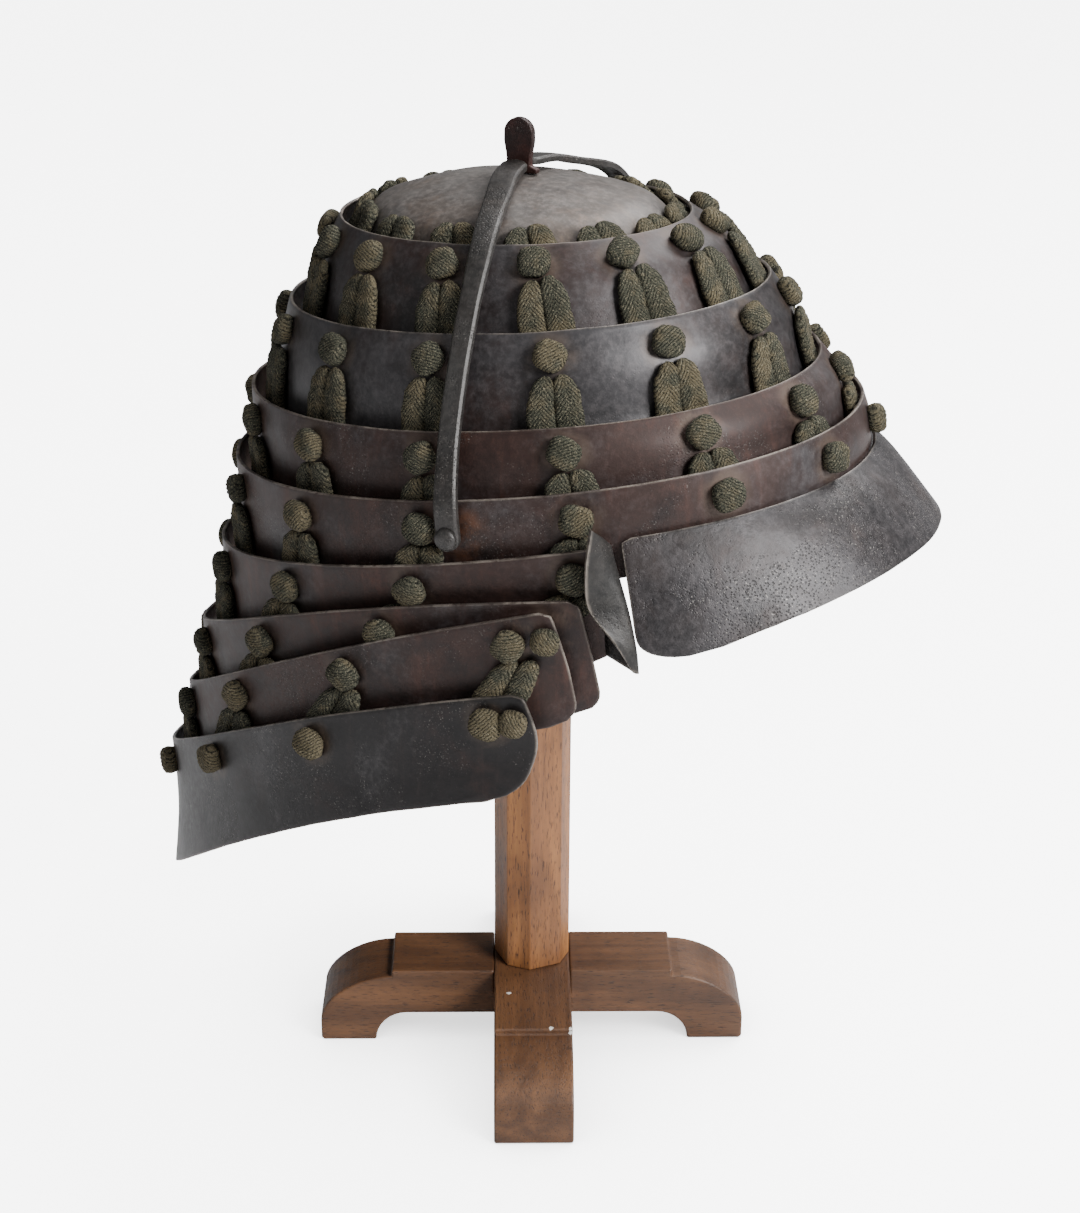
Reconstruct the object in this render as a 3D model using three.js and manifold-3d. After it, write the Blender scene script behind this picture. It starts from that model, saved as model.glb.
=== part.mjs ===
// A folding iron helmet of laced plates, shown on its plain wooden stand.
// Units are millimetres. +X is the helmet's front, +Y its left side and +Z is up. The floor is at z = 0.
// A crown plate and four rings hang in one another like a paper lantern, with a visor on the lowest ring and four
// open neck plates below it. Each plate hangs inside the next one down. A column of cord runs down the outside of
// a plate, slips behind the next plate's top edge, comes out through a hole in it and is knotted there. Two struts
// turn on rivets in the lowest ring and meet beside an upright tab on the crown, which holds the bowl open.
import * as THREE from "three";
import { mergeVertices } from "three/addons/utils/BufferGeometryUtils.js";
import Module from "manifold-3d";

const wasm = await Module();
wasm.setup();

// Driving sizes of the helmet
const bowlLength = 226; // shares of reach to the front and back are of half of this
const bowlWidth = 191; // shares of reach to the side are of half of this
const bowlHeight = 83.8; // lowest ring's top edge at the side, up to the crown's top
const neckDepth = 200; // from that edge down to about the lowest neck plate's foot
const ringAboveFloor = 253; // lowest ring's top edge at the side
const plate = 1.2; // iron plate
const lap = 13; // how far each plate reaches down inside the next
const cordGap = 5.4; // room for the cord between two plates
const backGap = 8; // the same room at the back
const seam = 0.35; // gap kept between pieces that touch
const ringSides = 28;
const neckSides = 18;
const visorSides = 10;

// Driving sizes of the cords
const cordThick = 2;
const legShare = 0.3; // share of the way down a plate where the pair is widest
const legWidth = 15.5; // pair of cords that runs down a plate
const neckWidth = 10.5; // the same pair behind a plate's edge
const knotWidth = 11.6;
const knotHeight = 8.4;
const knotRise = 4.1;
const knotDrop = 1; // knot's middle below its hole
const holeDrop = 8.5; // hole's middle below its plate's top edge
const holeWidth = 5.4;
const crownLeg = 17; // cord's length on the crown
const columnsAtSide = 7;
const frontColumns = 2; // columns on each side that end on the lowest ring

// Driving sizes of the struts, their rivets and the crown tab
const strutTopWidth = 9.4;
const strutWaist = 7;
const strutEyeWidth = 8.4;
const strutThick = 2.4;
const strutBevel = 0.8;
const strutClear = 2.55; // strut's inner face off the plates' edges
const strutAngle = 84.7; // degrees round from the front, at the rivet
const strutAtRims = [76.4, 81.3, 82.7, 84.1]; // the same where it passes each ring's edge, from the top ring down
const rivetDrop = 11; // rivet's middle below the lowest ring's top edge
const shankRadius = 1.8;
const headRadius = 3.6;
const headRise = 2;
const clenchRadius = 3;
const clenchRise = 1;
const tabWidth = 10.6;
const tabNeck = 8.6;
const tabHeight = 18.4;
const tabThick = 3;
const tabForward = 2;
const tabFootThick = 1.6;
const tabFootLength = 14;

// Driving sizes of the stand
const footReach = 81.8; // crossing's middle to a foot's end
const blockReach = 54; // crossing's middle to the raised block's end
const footInner = 60.5; // crossing's middle to a foot's inner edge
const barWidth = 29;
const barHeight = 31;
const archHeight = 12;
const blockStep = 2.6;
const footToe = 9; // height of the foot's end above the floor where its curve starts
const postWidth = 26; // across the post's wide flats
const postNarrowFace = 9.4;
const postTurn = 22.5; // degrees, post against cross
const standTurn = 25.5; // degrees, cross against helmet
const standForward = 6.3;
const standAside = 2.9;

const halfLength = bowlLength / 2;
const halfWidth = bowlWidth / 2;
const radians = THREE.MathUtils.degToRad;
const columnStep = 180 / columnsAtSide;

// A level edge round the helmet. front, back and side are its reaches from the crown's axis, as shares of
// halfLength, halfLength and halfWidth. The three heights are measured from the lowest ring's top edge, upwards as
// shares of bowlHeight for the bowl and as shares of neckDepth for the neck.
const edge = (front, back, side, atFront, atSide, atBack) => ({ front, back, side, atFront, atSide, atBack });

const crownTable = [
  edge(0.0, 0.0, 0.0, 1.0, 1.0, 1.0),
  edge(0.171, 0.171, 0.168, 0.989, 0.986, 0.982),
  edge(0.318, 0.318, 0.313, 0.958, 0.944, 0.931),
  edge(0.43, 0.43, 0.423, 0.918, 0.892, 0.866),
];
// rim is a plate's top edge and hip an edge about halfway down its visible face
const bowlTable = [
  {
    rim: edge(0.542, 0.542, 0.544, 0.889, 0.854, 0.82),
    hip: edge(0.66, 0.591, 0.632, 0.785, 0.725, 0.663),
  },
  {
    rim: edge(0.786, 0.701, 0.749, 0.658, 0.566, 0.472),
    hip: edge(0.855, 0.731, 0.804, 0.526, 0.416, 0.306),
  },
  {
    rim: edge(0.95, 0.831, 0.899, 0.364, 0.234, 0.104),
    hip: edge(1.002, 0.826, 0.923, 0.288, 0.129, -0.032),
  },
  {
    rim: edge(1.086, 0.886, 1.0, 0.193, 0.0, -0.198),
    hip: edge(1.112, 0.882, 1.0, 0.093, -0.119, -0.395),
  },
];
const browFoot = edge(1.125, 0.86, 0.98, -0.16, -0.393, -0.747);
const neckTable = [
  {
    rim: edge(1.159, 0.947, 1.056, 0.0, -0.0995, -0.248),
    hip: edge(1.17, 0.955, 1.026, -0.1, -0.2, -0.36),
    foot: edge(1.18, 0.955, 1.002, -0.2, -0.305, -0.48),
    ends: [59, 59, 59],
  },
  {
    rim: edge(1.254, 1.042, 1.098, -0.141, -0.163, -0.44),
    hip: edge(1.27, 1.03, 1.071, -0.235, -0.265, -0.555),
    foot: edge(1.28, 1.02, 1.047, -0.33, -0.37, -0.67),
    ends: [65, 64, 63],
  },
  {
    rim: edge(1.308, 1.096, 1.152, -0.079, -0.2045, -0.578),
    hip: edge(1.33, 1.09, 1.132, -0.18, -0.307, -0.694),
    foot: edge(1.34, 1.087, 1.11, -0.28, -0.41, -0.81),
    ends: [69, 67.5, 66.5],
  },
  {
    rim: edge(1.389, 1.177, 1.197, -0.24, -0.3175, -0.705),
    hip: edge(1.385, 1.165, 1.205, -0.352, -0.414, -0.845),
    foot: edge(1.397, 1.185, 1.23, -0.455, -0.5, -0.985),
    ends: [73, 71, 74],
  },
];
const neckFan = [0.5, 4.7, 9.2, 13.2]; // degrees that the columns drift back on each neck plate
const visorTable = [
  edge(1.131, 0.892, 1.012, 0.005, -0.087, -0.193),
  edge(1.2, 0.955, 1.05, -0.023, -0.175, -0.385),
  edge(1.277, 1.03, 1.099, -0.066, -0.305, -0.68),
  edge(1.349, 1.101, 1.145, -0.1125, -0.434, -0.968),
];
const visorEnds = [53.5, 58, 57.5, 53.5];

// The turned-back ears, row by row from the top. down, forward and out place the fold as shares of earDepth, and
// the other three carry the flap's free edge from the fold as shares of earWidth.
const earDepth = 38;
const earWidth = 12;
const earBow = 1.5;
const earRoot = 1.5; // degrees of the plate behind its end that an ear grows from
const earTable = [
  { down: 0.0, forward: 0.0, out: 0.0, flapBack: 0.22, flapOut: 0.75, flapUp: 0.72 },
  { down: 0.26, forward: 0.116, out: 0.06, flapBack: 0.65, flapOut: 0.72, flapUp: 0.42 },
  { down: 0.52, forward: 0.213, out: 0.09, flapBack: 0.83, flapOut: 0.67, flapUp: 0.26 },
  { down: 0.82, forward: 0.3, out: 0.13, flapBack: 0.42, flapOut: 0.42, flapUp: 0.33 },
  { down: 1.0, forward: 0.334, out: 0.158, flapBack: 0.08, flapOut: 0.1, flapUp: 0.06 },
];

// Every plate as rows of edge points that share one layout
const heightOf = (share, depth) => ringAboveFloor + share * depth;

// The edge of a plate inside the next one: down from the next rim along its slope, and the cord's room in from it
function edgeInside({ rim, hip }, depth, down) {
  const station = (reach, height, half, gap) => {
    const run = (hip[reach] - rim[reach]) * half;
    const fall = (rim[height] - hip[height]) * depth;
    const slope = Math.hypot(run, fall);
    const room = plate + gap;
    return [
      rim[reach] + (run * down - fall * room) / slope / half,
      rim[height] - (fall * down + run * room) / slope / depth,
    ];
  };
  const [front, atFront] = station("front", "atFront", halfLength, cordGap);
  const [back, atBack] = station("back", "atBack", halfLength, backGap);
  const [side, atSide] = station("side", "atSide", halfWidth, cordGap);
  return edge(front, back, side, atFront, atSide, atBack);
}

const crown = {
  name: "crown_plate",
  depth: bowlHeight,
  rows: [...crownTable, edgeInside(bowlTable[0], bowlHeight, 0), edgeInside(bowlTable[0], bowlHeight, lap)],
};
const bowl = bowlTable.map(({ rim, hip }, n) => {
  const next = bowlTable[n + 1];
  const feet = next ? [edgeInside(next, bowlHeight, 0), edgeInside(next, bowlHeight, lap)] : [browFoot];
  return { name: `bowl_plate_${n + 1}`, depth: bowlHeight, rows: [rim, hip, ...feet] };
});
const neck = neckTable.map(({ rim, hip, foot, ends }, n) => {
  return { name: `neck_plate_${n + 1}`, depth: neckDepth, rows: [rim, hip, foot], ends };
});
const visor = { name: "visor", depth: neckDepth, rows: visorTable, ends: visorEnds };

// The point of an edge at an angle round from the front, positive towards the helmet's left
function edgePoint(row, degrees, depth) {
  const c = Math.cos(radians(degrees));
  const tilt = (row.atFront - row.atBack) / 2;
  const sag = (row.atFront + row.atBack) / 2 - row.atSide;
  return new THREE.Vector3(
    halfLength * ((row.front - row.back) / 2 + ((row.front + row.back) / 2) * c),
    halfWidth * row.side * Math.sin(radians(degrees)),
    heightOf(row.atSide + tilt * c + sag * c * c, depth),
  );
}

// The point and the outward normal of a plate's face, a given way down from its top edge
function facePoint(part, degrees, way) {
  const line = (angle) => part.rows.map((row) => edgePoint(row, angle, part.depth));
  const points = line(degrees);
  let i = 0;
  let left = way;
  while (i < points.length - 2 && left > points[i].distanceTo(points[i + 1])) {
    left -= points[i].distanceTo(points[i + 1]);
    i += 1;
  }
  const down = new THREE.Vector3().subVectors(points[i + 1], points[i]);
  const share = left / down.length();
  const at = points[i].clone().addScaledVector(down, share);
  const ahead = line(degrees + 1);
  const beside = new THREE.Vector3().lerpVectors(ahead[i], ahead[i + 1], share);
  const round = beside.sub(at).normalize();
  down.normalize();
  return { at, down, round, out: new THREE.Vector3().crossVectors(down, round).normalize() };
}

function wayDown(part, degrees) {
  const points = part.rows.map((row) => edgePoint(row, degrees, part.depth));
  return points.slice(1).reduce((sum, point, i) => sum + point.distanceTo(points[i]), 0);
}

// Makes a closed solid from triangles of points
function solidOf(triangles) {
  const found = new Map();
  const points = [];
  const index = [];
  const order = (p) => {
    const key = [p.x, p.y, p.z].map((v) => Math.round(v * 1000)).join();
    if (!found.has(key)) {
      found.set(key, points.length / 3);
      points.push(p.x, p.y, p.z);
    }
    return found.get(key);
  };
  for (const corners of triangles) {
    const [a, b, c] = corners.map(order);
    if (a !== b && b !== c && c !== a) index.push(a, b, c);
  }
  return new wasm.Manifold(
    new wasm.Mesh({ numProp: 3, vertProperties: new Float32Array(points), triVerts: new Uint32Array(index) }),
  );
}

function solidFrom(geometry) {
  geometry.deleteAttribute("normal");
  geometry.deleteAttribute("uv");
  const merged = mergeVertices(geometry, 1e-4);
  const { array } = merged.getAttribute("position");
  const triVerts = new Uint32Array(merged.index.array);
  return new wasm.Manifold(new wasm.Mesh({ numProp: 3, vertProperties: new Float32Array(array), triVerts }));
}

const quad = (a, b, c, d) => [[a, b, c], [a, c, d]];

// The outward normals of a grid of points that runs down the plate and round it
function gridNormals(grid, closed) {
  const last = grid.length - 1;
  const count = grid[0].length;
  return grid.map((line, i) =>
    line.map((_, j) => {
      const before = closed ? (j + count - 1) % count : Math.max(j - 1, 0);
      const after = closed ? (j + 1) % count : Math.min(j + 1, count - 1);
      const round = new THREE.Vector3().subVectors(line[after], line[before]);
      const down = new THREE.Vector3().subVectors(grid[Math.min(i + 1, last)][j], grid[Math.max(i - 1, 0)][j]);
      const normal = down.cross(round);
      return round.lengthSq() > 1e-6 ? normal.normalize() : new THREE.Vector3(0, 0, 1);
    }),
  );
}

// A thin plate whose outer face is the grid: seen from above, its points run round anticlockwise
function wall(grid, closed, thick = plate) {
  const normals = gridNormals(grid, closed);
  const inner = grid.map((line, i) => line.map((p, j) => p.clone().addScaledVector(normals[i][j], -thick)));
  const last = grid.length - 1;
  const count = grid[0].length;
  const triangles = [];
  for (let j = 0; j < (closed ? count : count - 1); j++) {
    const k = (j + 1) % count;
    for (let i = 0; i < last; i++) {
      triangles.push(...quad(grid[i][j], grid[i + 1][j], grid[i + 1][k], grid[i][k]));
      triangles.push(...quad(inner[i][j], inner[i][k], inner[i + 1][k], inner[i + 1][j]));
    }
    triangles.push(...quad(grid[0][j], grid[0][k], inner[0][k], inner[0][j]));
    triangles.push(...quad(grid[last][j], inner[last][j], inner[last][k], grid[last][k]));
  }
  for (let i = 0; i < last && !closed; i++) {
    const end = count - 1;
    triangles.push(...quad(grid[i][0], inner[i][0], inner[i + 1][0], grid[i + 1][0]));
    triangles.push(...quad(grid[i][end], grid[i + 1][end], inner[i + 1][end], inner[i][end]));
  }
  return solidOf(triangles);
}

// A full ring, with a column of cord at the middle of every other side
function ringWall(part) {
  const angle = (j) => ((j + 0.5) * 360) / ringSides;
  const line = (row) => Array.from({ length: ringSides }, (_, j) => edgePoint(row, angle(j), part.depth));
  return wall(part.rows.map(line), true);
}

// A plate that is open at one side, from one end angle round to the other
function openWall(part, behind, sides) {
  const line = (row, i) =>
    Array.from({ length: sides + 1 }, (_, j) => {
      const share = (2 * j) / sides - 1;
      const angle = behind ? 180 + share * (180 - part.ends[i]) : share * part.ends[i];
      return edgePoint(row, angle, part.depth);
    });
  return wall(part.rows.map(line), false);
}

// A body lofted through flat outlines: each is seen anticlockwise by someone who looks back along the path
function loft(outlines) {
  const triangles = [];
  const last = outlines.at(-1);
  for (let i = 0; i + 1 < outlines.length; i++) {
    const [a, b] = [outlines[i], outlines[i + 1]];
    a.forEach((_, j) => triangles.push(...quad(a[j], a[(j + 1) % a.length], b[(j + 1) % a.length], b[j])));
  }
  for (let j = 1; j + 1 < last.length; j++) {
    triangles.push([outlines[0][0], outlines[0][j + 1], outlines[0][j]]);
    triangles.push([last[0], last[j], last[j + 1]]);
  }
  return solidOf(triangles);
}

// Corners of a rectangle across a path that runs along
function oblong(at, along, across, width, thick) {
  const depth = new THREE.Vector3().crossVectors(along, across).normalize();
  return [[-1, -1], [1, -1], [1, 1], [-1, 1]].map(([u, v]) =>
    at.clone().addScaledVector(across, (u * width) / 2).addScaledVector(depth, (v * thick) / 2),
  );
}

// Where a column crosses a plate: the knot's place, and the nearest place on the plate inside it
function crossing(outer, inner, degrees) {
  const knot = facePoint(outer, degrees, holeDrop);
  const gap = (angle, way) => facePoint(inner, angle, way).at.distanceTo(knot.at);
  const nearest = (from, step, count, measure) => {
    const tries = Array.from({ length: 2 * count + 1 }, (_, i) => from + (i - count) * step);
    return tries.reduce((best, next) => (measure(next) < measure(best) ? next : best));
  };
  let angle = degrees;
  let way = wayDown(inner, degrees) - lap;
  for (const finer of [1, 0.4, 0.1]) {
    way = nearest(way, finer, 12, (next) => gap(angle, next));
    angle = nearest(angle, finer, 10, (next) => gap(next, way));
  }
  return { knot, angle, way, end: facePoint(inner, angle, way) };
}

const onPlate = ({ at, out }) => at.clone().addScaledVector(out, 2 * seam + cordThick / 2);

// The sections of one crossing: the cord turns outwards behind a plate, goes through it and swells into a knot
function crossingSections({ knot, end }) {
  const start = onPlate(end);
  const through = new THREE.Vector3().subVectors(knot.at, start).normalize();
  const bend = new THREE.Vector3().addVectors(end.down, through).normalize();
  const face = knot.out.clone().multiplyScalar(2).add(knot.down).normalize();
  const middle = knot.at.clone().addScaledVector(knot.out, seam + knotRise * 0.55);
  middle.addScaledVector(knot.down, knotDrop);
  return [
    oblong(start, bend, end.round, holeWidth, cordThick),
    oblong(knot.at.clone().addScaledVector(through, seam), through, knot.round, holeWidth, holeWidth),
    oblong(middle, face, knot.round, knotWidth, knotHeight),
  ];
}

// The widest section of the pair of cords down a plate's face, on the way from one place to another
function legSection(part, fromAngle, fromWay, toAngle, toWay) {
  const degrees = fromAngle + legShare * (toAngle - fromAngle);
  const place = facePoint(part, degrees, fromWay + legShare * (toWay - fromWay));
  return oblong(onPlate(place), place.down, place.round, legWidth, cordThick);
}

// The narrow end of a column where it comes out on the crown plate
function crownSection(part, { angle, way }) {
  const place = facePoint(part, angle, way - crownLeg);
  return oblong(onPlate(place), place.down, place.round, neckWidth, cordThick);
}

// The hole that a column goes through
function holeBody({ knot, end }) {
  const through = new THREE.Vector3().subVectors(knot.at, onPlate(end)).normalize();
  const ends = [-2.5 * plate, 2.5 * plate].map((way) => {
    const at = knot.at.clone().addScaledVector(through, way);
    return oblong(at, through, knot.round, holeWidth + 2 * seam, holeWidth + 2 * seam);
  });
  return loft(ends);
}

// All plates from the crown down, as a column meets them
const plates = [crown, ...bowl, ...neck];

function columnAngle(n, bowlAngle) {
  const fan = n > bowl.length ? neckFan[n - bowl.length - 1] : 0;
  return bowlAngle + fan * Math.min(1, (180 - bowlAngle) / 90);
}

// Neck plate 3's front end climbs over plate 2's, so there plate 2's cord has no knot and goes straight on
function isCovered(n, bowlAngle) {
  return n === bowl.length + 2 && bowlAngle < neck[2].ends[0];
}

// One column of cord, from the crown to the knot on its last plate, with the hole that it needs in each plate
function columnOf(bowlAngle, side, lastPlate, holes) {
  const sections = [];
  for (let n = 1; n <= lastPlate; n++) {
    const degrees = side * columnAngle(n, bowlAngle);
    const place = crossing(plates[n], plates[n - 1], degrees);
    const top = n === 1 ? place.way - crownLeg : holeDrop + knotWidth * 0.65;
    const from = n === 1 ? place.angle : side * columnAngle(n - 1, bowlAngle);
    if (n === 1) sections.push(crownSection(plates[0], place));
    if (!isCovered(n - 1, bowlAngle)) {
      sections.push(legSection(plates[n - 1], from, top, place.angle, place.way));
    }
    sections.push(...crossingSections(place).slice(0, isCovered(n, bowlAngle) ? -1 : undefined));
    holes[n].push(holeBody(place));
  }
  return loft(sections);
}

const group = new THREE.Group();
function show(name, solid, material) {
  const { vertProperties, triVerts } = solid.getMesh();
  const geometry = new THREE.BufferGeometry();
  geometry.setAttribute("position", new THREE.BufferAttribute(vertProperties, 3));
  geometry.setIndex(new THREE.BufferAttribute(triVerts, 1));
  const mesh = new THREE.Mesh(geometry, material);
  mesh.name = name;
  group.add(mesh);
}

const finish = (color, roughness, metalness) => () => new THREE.MeshStandardMaterial({ color, roughness, metalness });
const iron = finish(0x3a3130, 0.5, 0.7);
const darkIron = finish(0x211d1e, 0.45, 0.7);
const cord = finish(0x2b2f22, 0.9, 0);
const wood = finish(0x6f4a2f, 0.6, 0);

// The struts' line: up from the rivet, close over the rings' edges and across the crown to the tab
const rivetPlace = facePoint(bowl[3], strutAngle, rivetDrop).at;
const tabFoot = new THREE.Vector3(tabForward, 0, heightOf(1, bowlHeight) + seam);
const strutMid = strutClear + strutThick / 2;

// Away from the helmet, square to its length axis
const strutOut = (at) => new THREE.Vector3(0, at.y, at.z - rivetPlace.z).normalize();

function strutCurve() {
  const pivot = rivetPlace.clone().setY(rivetPlace.y + strutMid);
  const rims = bowlTable.map(({ rim }, n) => edgePoint(rim, strutAtRims[n], bowlHeight)).reverse();
  const shoulder = edgePoint(crownTable[2], strutAtRims[0], bowlHeight);
  const brow = edgePoint(crownTable[1], strutAtRims[0], bowlHeight);
  const over = [...rims, shoulder, brow].map((at) => at.addScaledVector(strutOut(at), strutMid));
  const crest = tabFoot.clone().setY(tabThick / 2 + 2 * seam).setZ(heightOf(1, bowlHeight) + strutMid);
  const down = new THREE.Vector3().subVectors(pivot, over[0]).setY(0).normalize();
  const tail = pivot.clone().addScaledVector(down, strutEyeWidth / 2);
  return new THREE.CatmullRomCurve3([tail, pivot, ...over, crest], false, "centripetal");
}

// A flat bar along the curve, with round ends and the edges of its outer face bevelled
function strutBody(side) {
  const curve = strutCurve();
  const length = curve.getLength();
  const roundEnd = [0.04, 0.15, 0.5];
  const steps = 9;
  const ways = [
    ...roundEnd.map((share) => share * strutEyeWidth),
    ...Array.from({ length: steps - 1 }, (_, i) => ((i + 1) * length) / steps),
    ...roundEnd.map((share) => length - share * strutTopWidth).reverse(),
  ];
  const outlines = ways.map((way) => {
    const share = way / length;
    const toEye = Math.max(0, 1 - share * 4) * (strutEyeWidth - strutWaist);
    const toTop = Math.max(0, share * 2 - 1) * (strutTopWidth - strutWaist);
    const full = strutWaist + toEye + toTop;
    const fromEnd = Math.min(way, length - way, full / 2);
    const half = Math.sqrt((full / 2) ** 2 - (full / 2 - fromEnd) ** 2);
    const at = curve.getPointAt(share);
    const along = curve.getTangentAt(share);
    const across = new THREE.Vector3().crossVectors(strutOut(at), along).normalize();
    const out = new THREE.Vector3().crossVectors(along, across);
    const bevel = Math.min(strutBevel, half / 2);
    const profile = [
      [-half, -strutThick / 2],
      [-half, strutThick / 2 - bevel],
      [bevel - half, strutThick / 2],
      [half - bevel, strutThick / 2],
      [half, strutThick / 2 - bevel],
      [half, -strutThick / 2],
    ];
    const outline = profile.map(([u, v]) => at.clone().addScaledVector(across, u).addScaledVector(out, v));
    outline.forEach((point) => point.setY(point.y * side));
    return side > 0 ? outline.reverse() : outline;
  });
  return loft(outlines).subtract(pinBody(shankRadius + seam, side));
}

// A round pin across the helmet's side on the rivet's axis
function pinBody(radius, side) {
  const pin = new THREE.CylinderGeometry(radius, radius, 8 * strutThick, 10);
  pin.translate(rivetPlace.x, side * rivetPlace.y, rivetPlace.z);
  return solidFrom(pin);
}

// A rivet: a domed head outside the strut, a shank through both and a low clench inside the ring
function rivetBody(side) {
  const outside = strutClear + strutThick + seam;
  const inside = -plate - 3 * seam;
  const profile = [
    [0, inside - clenchRise],
    [clenchRadius * 0.7, inside - clenchRise],
    [clenchRadius, inside],
    [shankRadius, inside],
    [shankRadius, outside],
    [headRadius, outside],
    [headRadius * 0.75, outside + headRise * 0.7],
    [0, outside + headRise],
  ];
  const rivet = new THREE.LatheGeometry(profile.map(([x, y]) => new THREE.Vector2(x, y)), 10);
  if (side < 0) rivet.rotateX(Math.PI);
  rivet.translate(rivetPlace.x, side * rivetPlace.y, rivetPlace.z);
  return solidFrom(rivet);
}

// The upright tab between the struts' ends: a paddle with a narrower neck on a low foot
function tabBody() {
  const half = tabWidth / 2;
  const neckHalf = tabNeck / 2;
  const footHalf = tabFootLength / 2;
  const outline = new THREE.Shape();
  outline.moveTo(-footHalf, 0);
  outline.lineTo(footHalf, 0);
  outline.lineTo(footHalf, tabFootThick);
  outline.lineTo(neckHalf, tabFootThick + 1);
  outline.quadraticCurveTo(neckHalf, tabHeight * 0.35, half, tabHeight * 0.55);
  outline.absellipse(0, tabHeight * 0.72, half, tabHeight * 0.28, 0, Math.PI, false, 0);
  outline.lineTo(-half, tabHeight * 0.55);
  outline.quadraticCurveTo(-neckHalf, tabHeight * 0.35, -neckHalf, tabFootThick + 1);
  outline.lineTo(-footHalf, tabFootThick);
  const tab = new THREE.ExtrudeGeometry(outline, { depth: tabThick, bevelEnabled: false, curveSegments: 5 });
  tab.rotateX(Math.PI / 2);
  tab.translate(tabFoot.x, tabThick / 2, tabFoot.z);
  return solidFrom(tab);
}

// The turned-back ear on the front end of the first neck plate: a short root that follows the plate to the fold,
// and the flap outside it
function earBody(side) {
  const top = facePoint(neck[0], neck[0].ends[0], 0);
  const rows = earTable.map((row) => {
    const fold = top.at.clone();
    fold.add(new THREE.Vector3(row.forward, row.out, -row.down).multiplyScalar(earDepth));
    const flap = new THREE.Vector3(-row.flapBack, row.flapOut, row.flapUp).multiplyScalar(earWidth);
    const inside = facePoint(neck[0], neck[0].ends[0] + earRoot, row.down * earDepth);
    const root = inside.at.clone().addScaledVector(inside.out, -plate / 2);
    const middle = fold.clone().addScaledVector(flap, 0.5);
    middle.x += earBow * row.flapOut;
    return [root, fold, middle, fold.clone().add(flap)];
  });
  rows.forEach((row) => row.forEach((point) => point.setY(point.y * side)));
  return wall(side < 0 ? rows : rows.map((row) => row.reverse()), false);
}

// One bar of the stand, seen from its side
function barBody() {
  const outline = new THREE.Shape();
  const top = barHeight - blockStep;
  outline.moveTo(footInner, 0);
  outline.lineTo(footReach, 0);
  outline.lineTo(footReach, footToe);
  outline.bezierCurveTo(footReach, (footToe + top) / 2, (footReach + blockReach) / 2, top, blockReach, top);
  outline.lineTo(blockReach, barHeight);
  outline.lineTo(-blockReach, barHeight);
  outline.lineTo(-blockReach, top);
  outline.bezierCurveTo(-(footReach + blockReach) / 2, top, -footReach, (footToe + top) / 2, -footReach, footToe);
  outline.lineTo(-footReach, 0);
  outline.lineTo(-footInner, 0);
  outline.quadraticCurveTo(-footInner, archHeight, archHeight - footInner, archHeight);
  outline.lineTo(footInner - archHeight, archHeight);
  outline.quadraticCurveTo(footInner, archHeight, footInner, 0);
  const bar = new THREE.ExtrudeGeometry(outline, { depth: barWidth, bevelEnabled: false, curveSegments: 7 });
  bar.translate(0, 0, -barWidth / 2);
  bar.rotateX(Math.PI / 2);
  return bar;
}

// Half of the crossing is cut out of each bar, so that they lie flush
function halvedBar(turn, cutsTop) {
  const middle = (barHeight + archHeight) / 2;
  const notch = new THREE.BoxGeometry(barWidth + 2 * seam, 2 * barWidth, 2 * barHeight);
  notch.translate(0, 0, cutsTop ? middle + barHeight - seam / 2 : middle - barHeight + seam / 2);
  const bar = solidFrom(barBody()).subtract(solidFrom(notch));
  return standPlace(bar, turn);
}

function standPlace(solid, turn) {
  return solid.rotate([0, 0, standTurn + turn]).translate([standForward, standAside, 0]);
}

function postBody() {
  const half = postWidth / 2;
  const corner = half - postNarrowFace / Math.SQRT2;
  const corners = [[half, corner], [corner, half], [-corner, half], [-half, corner]];
  const outline = new THREE.Shape();
  const points = [...corners, ...corners.map(([x, y]) => [-x, -y])];
  points.forEach(([x, y], i) => (i ? outline.lineTo(x, y) : outline.moveTo(x, y)));
  const foot = barHeight + seam;
  const top = heightOf(crownTable[1].atBack, bowlHeight) - plate - 2 * seam;
  const post = new THREE.ExtrudeGeometry(outline, { depth: top - foot, bevelEnabled: false });
  post.translate(0, 0, foot);
  return standPlace(solidFrom(post), postTurn);
}

show("crown_plate", ringWall(crown), iron());
const holes = plates.map(() => []);
const columns = [];
for (const side of [-1, 1]) {
  for (let k = 0; k < columnsAtSide; k++) {
    const last = k < frontColumns ? bowl.length : plates.length - 1;
    const name = `lacing_${side < 0 ? "right" : "left"}_${k + 1}`;
    columns.push([name, columnOf((k + 0.5) * columnStep, side, last, holes)]);
  }
}
const cutAll = (body, tools) => tools.reduce((rest, tool) => rest.subtract(tool), body);
const sides = [["right", -1], ["left", 1]];
holes[bowl.length].push(...sides.map(([, side]) => pinBody(shankRadius + seam, side)));
bowl.forEach((part, n) => show(part.name, cutAll(ringWall(part), holes[n + 1]), iron()));
neck.forEach((part, n) => {
  const whole = openWall(part, true, neckSides);
  const body = n === 0 ? sides.reduce((rest, [, side]) => rest.add(earBody(side)), whole) : whole;
  show(part.name, cutAll(body, holes[n + 1 + bowl.length]), iron());
});
show("visor", openWall(visor, false, visorSides), darkIron());
columns.forEach(([name, body]) => show(name, body, cord()));
sides.forEach(([word, side]) => {
  show(`strut_${word}`, strutBody(side), darkIron());
  show(`rivet_${word}`, rivetBody(side), iron());
});
show("crown_tab", tabBody(), darkIron());
show("stand_bar_lower", halvedBar(0, true), wood());
show("stand_bar_upper", halvedBar(90, false), wood());
show("stand_post", postBody(), wood());

const box = new THREE.Box3().setFromObject(group);
group.position.set(-(box.min.x + box.max.x) / 2, -(box.min.y + box.max.y) / 2, -box.min.z);
export default group;
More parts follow.
